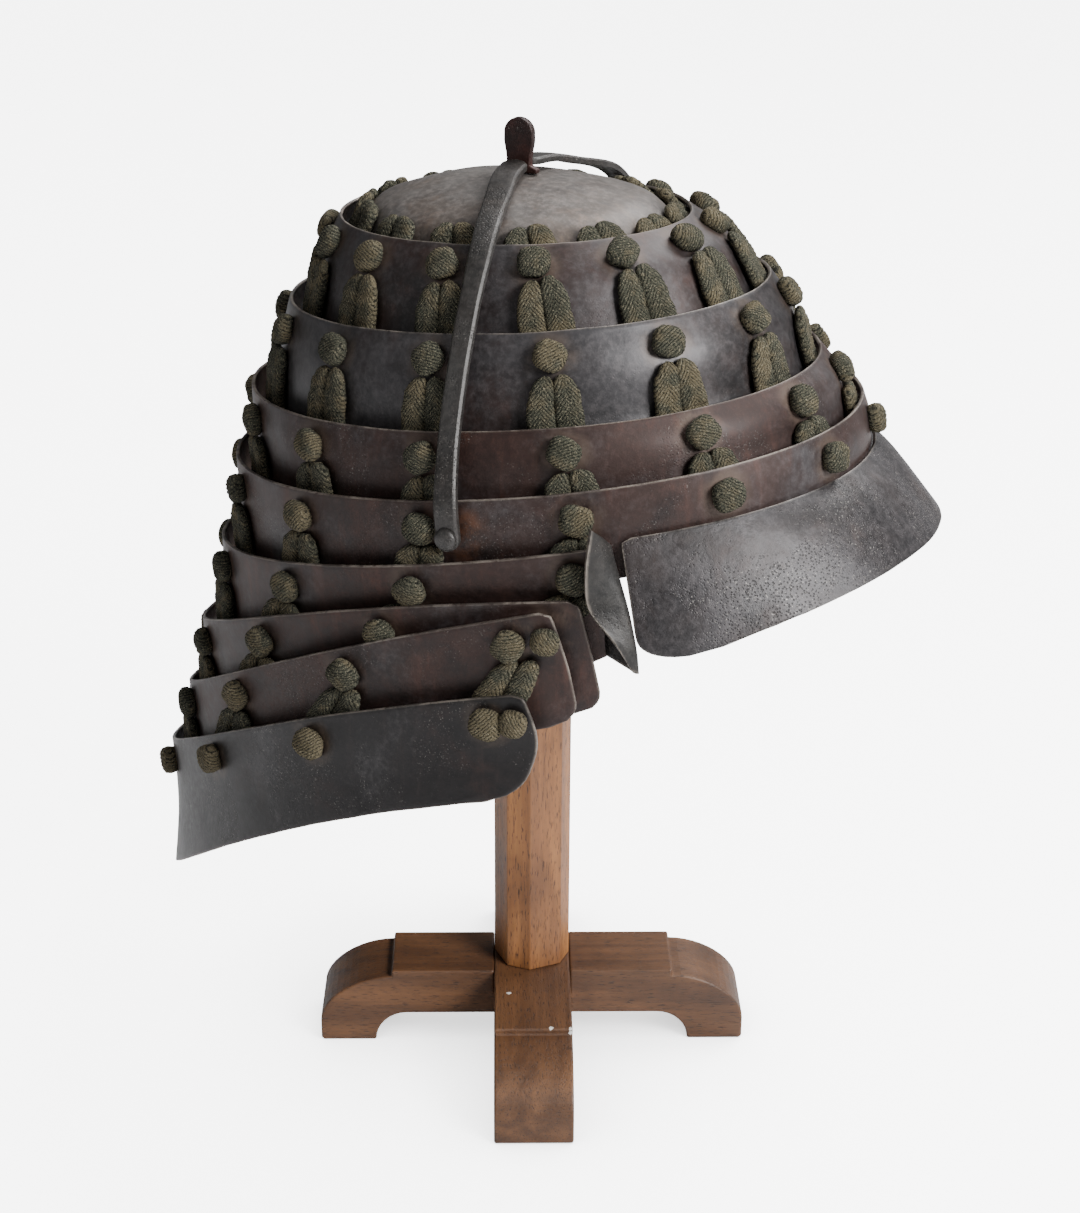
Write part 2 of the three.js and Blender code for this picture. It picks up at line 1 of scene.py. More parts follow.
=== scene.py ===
# %% [markdown]
# # A folding iron helmet on its wooden stand
# The real helmet is a set of thin iron plates that hang in one another on braided cords, so that it folds
# flat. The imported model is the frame: it says where everything is. This script dresses it with smooth
# plates, braided cords, worn iron and oiled wood. All lengths are in metres.

# %% The frame and its box
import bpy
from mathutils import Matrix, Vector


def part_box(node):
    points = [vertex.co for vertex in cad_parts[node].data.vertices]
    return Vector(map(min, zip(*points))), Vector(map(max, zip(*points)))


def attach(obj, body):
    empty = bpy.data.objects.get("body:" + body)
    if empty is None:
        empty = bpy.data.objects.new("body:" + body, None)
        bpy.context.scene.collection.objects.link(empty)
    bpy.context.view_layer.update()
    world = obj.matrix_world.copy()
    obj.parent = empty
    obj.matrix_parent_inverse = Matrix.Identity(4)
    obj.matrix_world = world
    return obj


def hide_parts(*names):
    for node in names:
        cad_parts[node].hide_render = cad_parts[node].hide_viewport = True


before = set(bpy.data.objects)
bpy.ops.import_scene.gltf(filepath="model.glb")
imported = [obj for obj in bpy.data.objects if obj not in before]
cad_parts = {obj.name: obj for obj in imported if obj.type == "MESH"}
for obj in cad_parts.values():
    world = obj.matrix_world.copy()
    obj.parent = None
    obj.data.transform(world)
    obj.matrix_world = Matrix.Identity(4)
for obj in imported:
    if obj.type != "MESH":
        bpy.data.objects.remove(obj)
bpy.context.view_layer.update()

# %% [markdown]
# The helmet is not centred on the frame's origin, because the neck guard reaches further back than the
# visor reaches forward. Its own axis is found from the stand's post, which stands a little forward and to
# the left of it. Every size below is then counted from that axis, with +X to the front, +Y to the
# helmet's left and +Z up.

# %% Sizes and the helmet's axis
import functools
import math
import random
from collections import namedtuple
import bmesh
import bpy
from mathutils import Matrix, Vector, noise

MM = 0.001
STAND_FORWARD, STAND_ASIDE = 6.3 * MM, 2.9 * MM
post_low, post_high = (Vector(corner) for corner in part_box("stand_post"))
post_middle = (post_low + post_high) / 2
AXIS = Vector((post_middle.x - STAND_FORWARD, post_middle.y - STAND_ASIDE, 0))
HALF_LENGTH, HALF_WIDTH = 113 * MM, 95.5 * MM
BOWL_HEIGHT, NECK_DEPTH, RIM_HEIGHT = 83.8 * MM, 200 * MM, 253 * MM
PLATE, LAP, CORD_GAP, BACK_GAP, SEAM = 1.2 * MM, 13 * MM, 5.4 * MM, 8 * MM, 0.35 * MM
print("helmet axis", [round(v / MM, 2) for v in AXIS])

# %% [markdown]
# ## The camera
# The photograph was taken from the helmet's right side, a little from the front and from above. A camera
# fitted to the plates' edges gives its place and direction. It comes first, because all else is judged
# through it.

# %% Camera
CAMERA_FROM_AXIS = Vector((324.122, -687.484, 506.4)) * MM
LOOK = Vector((-0.38098, 0.83488, -0.39727)).normalized()
ROLL, FILM, FOCAL_LENGTH = 0.0054, 36, 67.38


def place_camera():
    right = LOOK.cross(Vector((0, 0, 1))).normalized()
    up = right.cross(LOOK)
    rolled_right = right * math.cos(ROLL) + up * math.sin(ROLL)
    rolled_up = up * math.cos(ROLL) - right * math.sin(ROLL)
    lens = bpy.data.cameras.new("photo_camera")
    lens.sensor_fit = "VERTICAL"
    lens.sensor_width = lens.sensor_height = FILM
    lens.lens = FOCAL_LENGTH
    lens.clip_start, lens.clip_end = 0.05, 20
    camera = bpy.data.objects.new("photo_camera", lens)
    bpy.context.scene.collection.objects.link(camera)
    turn = Matrix((rolled_right, rolled_up, -LOOK)).transposed()
    camera.matrix_world = Matrix.Translation(AXIS + CAMERA_FROM_AXIS) @ turn.to_4x4()
    bpy.context.scene.camera = camera
    return camera


print("camera at", [round(v, 3) for v in place_camera().location])

# %% [markdown]
# ## The edges of the plates
# A plate is a band between edges that run level round the helmet: its top edge, a hip halfway down and a
# foot. One edge needs only how far it reaches to the front, back and side, and how high it is at each. A
# cosine joins the three heights. This says the whole helmet in a short table with the same shares as the
# solid model.

# %% Edges
Edge = namedtuple("Edge", "front back side at_front at_side at_back")
Part = namedtuple("Part", "name depth rows ends")

CROWN_EDGES = [
    Edge(0.0, 0.0, 0.0, 1.0, 1.0, 1.0),
    Edge(0.171, 0.171, 0.168, 0.989, 0.986, 0.982),
    Edge(0.318, 0.318, 0.313, 0.958, 0.944, 0.931),
    Edge(0.43, 0.43, 0.423, 0.918, 0.892, 0.866),
]
BOWL_RIMS = [
    Edge(0.542, 0.542, 0.544, 0.889, 0.854, 0.82),
    Edge(0.786, 0.701, 0.749, 0.658, 0.566, 0.472),
    Edge(0.95, 0.831, 0.899, 0.364, 0.234, 0.104),
    Edge(1.086, 0.886, 1.0, 0.193, 0.0, -0.198),
]
BOWL_HIPS = [
    Edge(0.66, 0.591, 0.632, 0.785, 0.725, 0.663),
    Edge(0.855, 0.731, 0.804, 0.526, 0.416, 0.306),
    Edge(1.002, 0.826, 0.923, 0.288, 0.129, -0.032),
    Edge(1.112, 0.882, 1.0, 0.093, -0.119, -0.395),
]
BROW_FOOT = Edge(1.125, 0.86, 0.98, -0.16, -0.393, -0.747)
NECK_EDGES = [
    [Edge(1.159, 0.947, 1.056, 0.0, -0.0995, -0.248), Edge(1.17, 0.955, 1.026, -0.1, -0.2, -0.36),
     Edge(1.18, 0.955, 1.002, -0.2, -0.305, -0.48)],
    [Edge(1.254, 1.042, 1.098, -0.141, -0.163, -0.44), Edge(1.27, 1.03, 1.071, -0.235, -0.265, -0.555),
     Edge(1.28, 1.02, 1.047, -0.33, -0.37, -0.67)],
    [Edge(1.308, 1.096, 1.152, -0.079, -0.2045, -0.578), Edge(1.33, 1.09, 1.132, -0.18, -0.307, -0.694),
     Edge(1.34, 1.087, 1.11, -0.28, -0.41, -0.81)],
    [Edge(1.389, 1.177, 1.197, -0.24, -0.3175, -0.705), Edge(1.385, 1.165, 1.205, -0.352, -0.414, -0.845),
     Edge(1.397, 1.185, 1.23, -0.455, -0.5, -0.985)],
]
NECK_ENDS = [(59, 59, 59), (65, 64, 63), (69, 67.5, 66.5), (73, 71, 73)]
VISOR_EDGES = [
    Edge(1.131, 0.892, 1.012, 0.005, -0.087, -0.193),
    Edge(1.2, 0.955, 1.05, -0.023, -0.175, -0.385),
    Edge(1.277, 1.03, 1.099, -0.066, -0.305, -0.68),
    Edge(1.349, 1.101, 1.145, -0.1125, -0.434, -0.968),
]
VISOR_ENDS = (57.5, 58, 58, 57)
print(len(BOWL_RIMS), "rings,", len(NECK_EDGES), "neck plates")

# %% [markdown]
# A plate reaches down inside the next one, with the cord's room between them. That hidden edge is found
# by going in from the next plate's rim, square to its slope, and then down along it.


# %% Hidden feet
def edge_inside(rim, hip, depth, down):
    def station(reach, height, half, gap):
        run = (getattr(hip, reach) - getattr(rim, reach)) * half
        fall = (getattr(rim, height) - getattr(hip, height)) * depth
        slope = math.hypot(run, fall)
        room = PLATE + gap
        return (getattr(rim, reach) + (run * down - fall * room) / slope / half,
                getattr(rim, height) - (fall * down + run * room) / slope / depth)

    front, at_front = station("front", "at_front", HALF_LENGTH, CORD_GAP)
    back, at_back = station("back", "at_back", HALF_LENGTH, BACK_GAP)
    side, at_side = station("side", "at_side", HALF_WIDTH, CORD_GAP)
    return Edge(front, back, side, at_front, at_side, at_back)


feet = [[edge_inside(rim, hip, BOWL_HEIGHT, 0), edge_inside(rim, hip, BOWL_HEIGHT, LAP)]
        for rim, hip in zip(BOWL_RIMS, BOWL_HIPS)]
CROWN = Part("crown_plate", BOWL_HEIGHT, (*CROWN_EDGES, *feet[0]), None)
BOWL = [Part(f"bowl_plate_{n + 1}", BOWL_HEIGHT, (rim, hip, *(feet[n + 1] if n < 3 else [BROW_FOOT])), None)
        for n, (rim, hip) in enumerate(zip(BOWL_RIMS, BOWL_HIPS))]
NECK = [Part(f"neck_plate_{n + 1}", NECK_DEPTH, tuple(rows), ends)
        for n, (rows, ends) in enumerate(zip(NECK_EDGES, NECK_ENDS))]
VISOR = Part("visor", NECK_DEPTH, tuple(VISOR_EDGES), VISOR_ENDS)
PLATES = [CROWN, *BOWL, *NECK]
print([part.name for part in PLATES])

# %% [markdown]
# Between its few edges the real plate is a smooth curve, beaten over a stake. A spline through the edge
# points gives that curve, and a slow, small noise along the way out gives the hammer's unevenness. The
# cords are laid on the same surface, so they follow every dent.


# %% Smooth lines down a plate
def spline(points, samples):
    """A centripetal spline through points, with its ends carried on straight."""
    ends = [points[0] * 2 - points[1], *points, points[-1] * 2 - points[-2]]
    line = []
    for a, b, c, d in zip(ends, ends[1:], ends[2:], ends[3:]):
        before, across, after = (max(math.sqrt((q - p).length), 1e-5) for p, q in ((a, b), (b, c), (c, d)))
        start = ((b - a) / before - (c - a) / (before + across) + (c - b) / across) * across
        stop = ((c - b) / across - (d - b) / (across + after) + (d - c) / after) * across
        for k in range(samples):
            t = k / samples
            line.append(b + start * t + (c * 3 - b * 3 - start * 2 - stop) * t**2
                        + (b * 2 - c * 2 + start + stop) * t**3)
    return [*line, points[-1].copy()]


def edge_point(row, degrees, depth):
    turn = math.radians(degrees)
    c = math.cos(turn)
    tilt = (row.at_front - row.at_back) / 2
    sag = (row.at_front + row.at_back) / 2 - row.at_side
    x = HALF_LENGTH * ((row.front - row.back) / 2 + (row.front + row.back) / 2 * c)
    y = HALF_WIDTH * row.side * math.sin(turn)
    return AXIS + Vector((x, y, RIM_HEIGHT + depth * (row.at_side + tilt * c + sag * c * c)))


def beaten(point):
    out = (point - AXIS - Vector((0, 0, 0.2))).normalized()
    return point + out * MM * (0.4 * noise.noise(point * 38) + 0.16 * noise.noise(point * 120))


@functools.lru_cache(maxsize=None)
def plate_line(part, degrees):
    """Points down a plate's face at an angle, and how far down each of them lies."""
    points = [beaten(p) for p in spline([edge_point(row, degrees, part.depth) for row in part.rows], 6)]
    ways = [0.0]
    for a, b in zip(points, points[1:]):
        ways.append(ways[-1] + (b - a).length)
    return points, ways


def on_line(part, degrees, way):
    points, ways = plate_line(part, round(degrees, 3))
    i = 0
    while i < len(points) - 2 and way > ways[i + 1]:
        i += 1
    down = points[i + 1] - points[i]
    return points[i] + down * ((way - ways[i]) / max(down.length, 1e-9)), down.normalized()


Place = namedtuple("Place", "at down round out")


def face_place(part, degrees, way):
    at, down = on_line(part, degrees, way)
    side_step = (on_line(part, degrees + 1, way)[0] - at).normalized()
    out = down.cross(side_step).normalized()
    return Place(at, down, out.cross(down), out)


def way_down(part, degrees):
    return plate_line(part, round(degrees, 3))[1][-1]


print("crown line", round(way_down(CROWN, 90) / MM, 1), "mm long")

# %% [markdown]
# ## Finishes: what all of them share
# Old iron is never one colour: russet bloom, blue-black oxide and grey rubbed metal lie in patches of all
# sizes, with pits and fine scratches. That is one node group with its own colours and amounts in each
# material, so the crown, rings, visor and fittings can differ and still belong together.


# %% Helpers for shaders
def new_group(name, inputs, outputs):
    group = bpy.data.node_groups.new(name, "ShaderNodeTree")
    for socket, kind, value in inputs:
        made = group.interface.new_socket(name=socket, in_out="INPUT", socket_type=kind)
        if value is not None:
            made.default_value = value
    for socket, kind in outputs:
        group.interface.new_socket(name=socket, in_out="OUTPUT", socket_type=kind)
    return group, group.nodes.new("NodeGroupInput").outputs, group.nodes.new("NodeGroupOutput").inputs


def add_node(tree, kind, links=None, **settings):
    """A node with its settings, and with values or links for its inputs."""
    node = tree.nodes.new(kind)
    for key, value in settings.items():
        setattr(node, key, value)
    for key, value in (links or {}).items():
        if isinstance(value, bpy.types.NodeSocket):
            tree.links.new(value, node.inputs[key])
        else:
            node.inputs[key].default_value = value
    return node


def ramp(tree, factor, low, high):
    """Nothing below low, all above high."""
    return add_node(tree, "ShaderNodeMapRange", {0: factor, 1: low, 2: high}, clamp=True,
                    interpolation_type="SMOOTHSTEP").outputs[0]


def mixed(tree, factor, first, second, blend="MIX"):
    return add_node(tree, "ShaderNodeMix", {0: factor, 6: first, 7: second}, data_type="RGBA",
                    blend_type=blend).outputs[2]


def calc(tree, operation, first, second=0.0):
    return add_node(tree, "ShaderNodeMath", {0: first, 1: second}, operation=operation).outputs[0]


def plus(tree, first, second):
    return calc(tree, "ADD", first, second)


def minus(tree, first, second):
    return calc(tree, "SUBTRACT", first, second)


def times(tree, first, second):
    return calc(tree, "MULTIPLY", first, second)


def tinted(tree, factor, colour, tint):
    """The colour times a tint, where the mask says so."""
    return mixed(tree, factor, colour, mixed(tree, 1.0, colour, tint, "MULTIPLY"))


def moved(tree, where, step):
    return add_node(tree, "ShaderNodeVectorMath", {0: where, 1: step}, operation="ADD").outputs[0]


def carried(tree, name):
    """A value that the piece carries on its points."""
    return add_node(tree, "ShaderNodeAttribute", attribute_name=name).outputs["Fac"]


def clouds(tree, where, scale, detail=6.0, roughness=0.6, distortion=0.0):
    return add_node(tree, "ShaderNodeTexNoise", {"Vector": where, "Scale": scale, "Detail": detail,
                    "Roughness": roughness, "Distortion": distortion}).outputs["Fac"]


def new_finish(name, **values):
    """A new material with its tree and shader, whose inputs are set by name."""
    material = bpy.data.materials.new(name)
    material.use_nodes = True
    shader = material.node_tree.nodes["Principled BSDF"]
    for key, value in values.items():
        shader.inputs[key.replace("_", " ")].default_value = value
    return material, material.node_tree, shader


def raise_skin(tree, shader, height, strength, distance):
    """Lets a height stand out of the surface, as light sees it."""
    sizes = {"Height": height, "Strength": strength, "Distance": distance}
    raised = add_node(tree, "ShaderNodeBump", sizes)
    tree.links.new(raised.outputs["Normal"], shader.inputs["Normal"])


print("shader helpers ready")

# %% [markdown]
# The iron group works on Object coordinates, so a patch stays where it is on the plate. Russet comes in
# broad clouds, grey sheen where hands rubbed, pits in clusters, and a thin bright line follows every
# edge: partly rubbed iron and partly a painted highlight where the edges catch the light. The edge
# comes from an attribute that each plate carries: its distance to the nearest edge in millimetres.


# %% Old iron: its colours
def iron_colours(group, given, where):
    """Russet, streaks, grime and rubbed grey on the dark iron, and the masks that the rest uses."""
    broad, middle = clouds(group, where, 17.0, 5.0, 0.62, 0.6), clouds(group, where, 70.0, 6.0, 0.65, 0.4)
    fine = clouds(group, where, 420.0, 4.0, 0.7)
    tall = add_node(group, "ShaderNodeMapping", {"Vector": where, "Scale": (1, 1, 0.14)}).outputs[0]
    streak = clouds(group, tall, 150.0, 4.0, 0.65, 0.3)
    blotch = plus(group, times(group, broad, 0.65), times(group, middle, 0.35))
    russet = ramp(group, plus(group, blotch, times(group, given["Russet Amount"], 0.3)), 0.5, 0.78)
    other = clouds(group, moved(group, where, (0.31, 0.17, 0.05)), 24.0, 5.0, 0.6, 0.4)
    rubbed = plus(group, times(group, other, 0.7), times(group, fine, 0.3))
    grey = ramp(group, plus(group, rubbed, times(group, given["Grey Amount"], 0.35)), 0.52, 0.82)
    colour = mixed(group, russet, given["Dark"], given["Russet"])
    colour = tinted(group, times(group, ramp(group, streak, 0.5, 0.72), 0.5), colour, (2.4, 2.1, 1.9, 1))
    grime = times(group, ramp(group, middle, 0.55, 0.36), 0.55)
    colour = tinted(group, grime, colour, (0.45, 0.42, 0.45, 1))
    colour = mixed(group, grey, colour, given["Grey"])
    colour = tinted(group, times(group, ramp(group, fine, 0.42, 0.66), 0.5), colour, (1.7, 1.6, 1.55, 1))
    return colour, {"middle": middle, "fine": fine, "streak": streak, "russet": russet, "grey": grey}


# %% [markdown]
# Age comes on top of the colours: pits and bright flakes in clusters, with painted glints among the flakes,
# dust round the knots, rust by the rivets and the rubbed line on the edges, which is also a painted
# highlight. Each is a mask that mixes in its own colour, so each can be turned up or down alone.


# %% Old iron: its age
def iron_age(group, given, where, colour, masks):
    """Adds pits, flakes with painted glints, dust, rust and rubbed edges with a painted highlight to the
    colour. Also gives back the pits' mask.
    """
    middle, fine = masks["middle"], masks["fine"]
    grain = clouds(group, where, 1500.0, 2.0, 0.6)
    speck = add_node(group, "ShaderNodeTexVoronoi", {"Vector": where, "Scale": 1100.0, "Randomness": 1.0})
    cluster = clouds(group, moved(group, where, (0.05, 0.63, 0.2)), 26.0, 4.0, 0.7, 0.8)
    pitted = ramp(group, plus(group, cluster, times(group, given["Pits"], 0.12)), 0.56, 0.7)
    hole = minus(group, 1.0, ramp(group, speck.outputs["Distance"], 0.05, 0.42))
    pit = times(group, times(group, hole, pitted), given["Pits"])
    colour = mixed(group, times(group, pit, 0.7), colour, (0.006, 0.004, 0.004, 1))
    # Bright flakes in the pitted clusters: partly bare metal, partly painted glints.
    flake_and_glint = times(group, ramp(group, grain, 0.6, 0.72), plus(group, pitted, 0.04))
    colour = mixed(group, times(group, flake_and_glint, given["Pits"]), colour, (0.2, 0.185, 0.17, 1))
    dust = times(group, carried(group, "halo"), ramp(group, middle, 0.35, 0.6))
    colour = mixed(group, times(group, dust, 0.55), colour, (0.12, 0.085, 0.062, 1))
    rust = times(group, carried(group, "rust"), ramp(group, middle, 0.3, 0.55))
    colour = mixed(group, times(group, rust, 0.85), colour, (0.13, 0.052, 0.024, 1))
    # Painted highlight: the edges are lightened as rubbed iron and as light catching them, on some stretches
    # more than others.
    ragged = plus(group, carried(group, "edge_mm"), times(group, middle, 0.9))
    worn = times(group, minus(group, 1.0, ramp(group, ragged, 0.45, 1.15)), given["Edge Shine"])
    worn = times(group, worn, ramp(group, fine, 0.25, 0.5))
    worn = times(group, worn, plus(group, times(group, ramp(group, middle, 0.42, 0.6), 0.75), 0.25))
    return mixed(group, worn, colour, (0.3, 0.26, 0.22, 1)), pit


def old_iron_group():
    group, given, out = new_group(
        "old_iron_surface",
        [("Dark", "NodeSocketColor", (0.02, 0.016, 0.016, 1)),
         ("Russet", "NodeSocketColor", (0.06, 0.03, 0.022, 1)),
         ("Grey", "NodeSocketColor", (0.12, 0.12, 0.125, 1)), ("Russet Amount", "NodeSocketFloat", 0.5),
         ("Grey Amount", "NodeSocketFloat", 0.3), ("Pits", "NodeSocketFloat", 0.3),
         ("Edge Shine", "NodeSocketFloat", 0.6), ("Offset", "NodeSocketVector", (0, 0, 0))],
        [("Color", "NodeSocketColor"), ("Roughness", "NodeSocketFloat"), ("Height", "NodeSocketFloat")])
    where = moved(group, add_node(group, "ShaderNodeTexCoord").outputs["Object"], given["Offset"])
    colour, masks = iron_colours(group, given, where)
    colour, pit = iron_age(group, given, where, colour, masks)
    rough = plus(group, 0.27, times(group, masks["fine"], 0.28))
    rough = plus(group, rough, times(group, masks["streak"], 0.08))
    rough = plus(group, rough, times(group, masks["russet"], 0.12))
    rough = minus(group, rough, times(group, masks["grey"], 0.05))
    height = plus(group, times(group, masks["fine"], 0.35), times(group, masks["middle"], 0.8))
    group.links.new(colour, out["Color"])
    group.links.new(plus(group, rough, times(group, pit, 0.25)), out["Roughness"])
    group.links.new(minus(group, height, times(group, pit, 1.2)), out["Height"])
    return group


OLD_IRON = old_iron_group()
print("old iron has", len(OLD_IRON.nodes), "nodes")

# %% [markdown]
# Each plate, the ears, the struts and the tab now get the group with their own colours and amounts. The
# lower rings and the neck guard are russet, the second ring is blue-black, the crown grey-brown and the
# visor pitted.


# %% Iron materials
def iron_material(name, dark, russet, grey, bump=0.16, **amounts):
    """A material of old iron with its own colours and amounts."""
    material, tree, shader = new_finish(name, Metallic=0.4, Coat_Weight=0.1, Coat_Roughness=0.35)
    surface = add_node(tree, "ShaderNodeGroup", {"Dark": dark, "Russet": russet, "Grey": grey},
                       node_tree=OLD_IRON)
    for key, value in amounts.items():
        surface.inputs[key.replace("_", " ")].default_value = value
    tree.links.new(surface.outputs["Color"], shader.inputs["Base Color"])
    tree.links.new(surface.outputs["Roughness"], shader.inputs["Roughness"])
    raise_skin(tree, shader, surface.outputs["Height"], bump, 1.2 * MM)
    return material


DARK, RUSSET, GREY = (0.0085, 0.007, 0.0072, 1), (0.031, 0.0148, 0.0115, 1), (0.05, 0.0475, 0.05, 1)
CROWN_IRON = iron_material(
    "crown_iron", (0.052, 0.045, 0.041, 1), (0.08, 0.062, 0.05, 1), (0.13, 0.122, 0.116, 1),
    Russet_Amount=0.6, Grey_Amount=0.55, Pits=0.35, Edge_Shine=0.7)
RING_AGES = [(0.55, 0.45, 0.35), (0.35, 0.6, 0.35), (1.0, 0.15, 0.6), (0.9, 0.2, 0.6)]
NECK_AGES = [(0.8, 0.1, 0.4), (0.75, 0.1, 0.4), (0.8, 0.03, 0.5), (0.05, 0.05, 0.6)]
PLATE_IRON = [
    iron_material(f"ring_iron_{n + 1}", DARK, RUSSET, GREY, Russet_Amount=russet, Grey_Amount=grey,
                  Pits=pits, Edge_Shine=0.75, Offset=(n * 0.37, n * 0.21, 0))
    for n, (russet, grey, pits) in enumerate(RING_AGES)]
NECK_IRON = [
    iron_material(f"neck_iron_{n + 1}", DARK, RUSSET, GREY, Russet_Amount=russet, Grey_Amount=grey,
                  Pits=pits, Edge_Shine=0.8, Offset=(n * 0.29, 0.4, n * 0.13))
    for n, (russet, grey, pits) in enumerate(NECK_AGES)]
VISOR_IRON = iron_material(
    "visor_iron", (0.013, 0.0115, 0.012, 1), (0.026, 0.017, 0.015, 1), GREY, bump=0.3,
    Russet_Amount=0.45, Grey_Amount=0.45, Pits=1.0, Edge_Shine=0.6, Offset=(0.12, 0.33, 0.07))
EAR_IRON = iron_material(
    "ear_iron", (0.014, 0.013, 0.012, 1), (0.026, 0.019, 0.015, 1), (0.028, 0.027, 0.0255, 1), bump=0.35,
    Russet_Amount=0.4, Grey_Amount=0.4, Pits=0.7, Edge_Shine=0.8)
print("iron finishes", len(bpy.data.materials))

# %% [markdown]
# ## The plates
# A plate could be modelled by hand and bent, but a flat grid that is wrapped on the plate's formula keeps
# every edge true. The grid's two directions become the way round and the way down. A Solidify modifier
# then gives the iron its thickness on the inside, and a small Bevel breaks the edges so that they catch
# light.


# %% Where the knots are
HOLE_DROP, NECK_FAN, COLUMNS_AT_SIDE, FRONT_COLUMNS = 8.5 * MM, [0.5, 4.7, 9.2, 13.2], 7, 2


def column_angle(n, bowl_angle):
    fan = NECK_FAN[n - len(BOWL) - 1] if n > len(BOWL) else 0
    return bowl_angle + fan * min(1, (180 - bowl_angle) / 90)


def knot_places(part):
    n = PLATES.index(part) if part in PLATES else 0
    if n == 0:
        return []
    columns = range(FRONT_COLUMNS if n > len(BOWL) else 0, COLUMNS_AT_SIDE)
    angles = [column_angle(n, (k + 0.5) * 180 / COLUMNS_AT_SIDE) for k in columns]
    return [face_place(part, side * angle, HOLE_DROP).at for angle in angles for side in (-1, 1)]


# %% [markdown]
# The grid itself follows. Each plate also carries three values for its finish: the distance to its edge,
# a halo round each knot, where the cord has kept dust on the iron, and the rust that has run from the
# struts' rivets on the lowest ring.


# %% Wrapping a grid on a plate
def end_angle(part, share):
    """Where an open plate ends at a share of the way down, in degrees from the front."""
    spots = [Vector((value, 0, 0)) for value in part.ends]
    line = spline(spots, 8)
    place = share * (len(line) - 1)
    low = min(int(place), len(line) - 2)
    return line[low].lerp(line[low + 1], place - low).x


def corner_cut(way, total, top, bottom):
    """How far a rounded corner cuts in from a plate's end at a way down."""
    cut = 0.0
    for gap, radius in ((way, top), (total - way, bottom)):
        if radius > 0 and gap < radius:
            cut += radius - math.sqrt(max(radius**2 - (radius - gap) ** 2, 0.0))
    return cut


def finish_piece(bm, name, material, body="helmet", nodes=(), smooth=True):
    """Makes an object of a bmesh, with its finish and body, and hides the solids that it stands for."""
    mesh = bpy.data.meshes.new(name)
    bm.to_mesh(mesh)
    bm.free()
    mesh.materials.append(material)
    mesh.shade_smooth() if smooth else mesh.shade_flat()
    piece = bpy.data.objects.new(name, mesh)
    bpy.context.scene.collection.objects.link(piece)
    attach(piece, body)
    if nodes:
        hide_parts(*nodes)
    return piece


HALO_REACH, HALO_FADE, RUST_REACH, RUST_FADE = 9.5 * MM, 3.5 * MM, 7.5 * MM, 4 * MM
RUST_ANGLE, RUST_DROPS = 82.8, (9 * MM, 15 * MM)


def nearness(at, spots, reach, fade):
    """One at the spots, nothing beyond their reach, and a slope between."""
    gap = min([(at - spot).length for spot in spots], default=1)
    return max(0.0, min(1.0, (reach - gap) / fade))


def wrap_plate(part, around, down, top=0.0, bottom=0.0):
    """A grid wrapped on a plate: a whole ring, or a plate that is open at the back or at the front."""
    bm = bmesh.new()
    bmesh.ops.create_grid(bm, x_segments=around, y_segments=down, size=0.5)
    edge_mm, halo, rust = (bm.verts.layers.float.new(layer) for layer in ("edge_mm", "halo", "rust"))
    spots = [(side * RUST_ANGLE, drop) for side in (-1, 1) for drop in RUST_DROPS]
    rusty = [face_place(part, angle, drop).at for angle, drop in spots] if part is BOWL[3] else []
    knots = knot_places(part)
    mean_radius = (HALF_LENGTH + HALF_WIDTH) / 2
    for vert in bm.verts:
        round_share, down_share = vert.co.x + 0.5, 0.5 - vert.co.y
        total = way_down(part, 90)
        near_end = 1.0
        if part.ends is None:
            degrees = round(round_share * 360, 3) % 360
        else:
            cut = math.degrees(corner_cut(down_share * total, total, top, bottom) / mean_radius)
            back = part.ends is not VISOR_ENDS
            end = end_angle(part, down_share) + (cut if back else -cut)
            span = 180 - end if back else end
            degrees = (180 if back else 0) + (2 * round_share - 1) * span
            near_end = math.radians(span) * mean_radius * min(round_share, 1 - round_share) * 2
        way = down_share * way_down(part, degrees)
        vert.co = on_line(part, degrees, way)[0]
        from_top = 1.0 if part is CROWN else way
        vert[edge_mm] = min(from_top, total * (1 - down_share), near_end) / MM
        vert[halo] = nearness(vert.co, knots, HALO_REACH, HALO_FADE)
        vert[rust] = nearness(vert.co, rusty, RUST_REACH, RUST_FADE)
    bmesh.ops.remove_doubles(bm, verts=bm.verts, dist=1e-6)
    return bm


def break_edges(piece, width, sharper_than):
    """Bevels the edges that turn by more than an angle."""
    edges = piece.modifiers.new("broken_edges", "BEVEL")
    edges.width, edges.segments = width, 2
    edges.limit_method, edges.angle_limit = "ANGLE", math.radians(sharper_than)
    return piece


def thicken(piece, offset=-1.0):
    wall = piece.modifiers.new("thickness", "SOLIDIFY")
    wall.thickness, wall.offset, wall.use_even_offset = PLATE, offset, False
    return break_edges(piece, 0.28 * MM, 50)


def beat_plate(part, finish, *grid):
    return thicken(finish_piece(wrap_plate(part, *grid), f"{part.name}_beaten", finish,
                                nodes=[part.name]))


for part, finish in zip([CROWN, *BOWL], [CROWN_IRON, *PLATE_IRON]):
    beat_plate(part, finish, 240, 28)
for part, finish in zip(NECK, NECK_IRON):
    beat_plate(part, finish, 200, 22, 3 * MM, 8 * MM)
beat_plate(VISOR, VISOR_IRON, 120, 36, 3 * MM, 19 * MM)

# %% [markdown]
# The first neck plate ends on each side in a small ear that is turned back over its face. It is a leaf of
# the same iron: a fold runs down its front and the flap's free edge curves back from it. Four short lines
# down the ear, each smoothed, and a spline across them make a leaf that is soft in both directions.

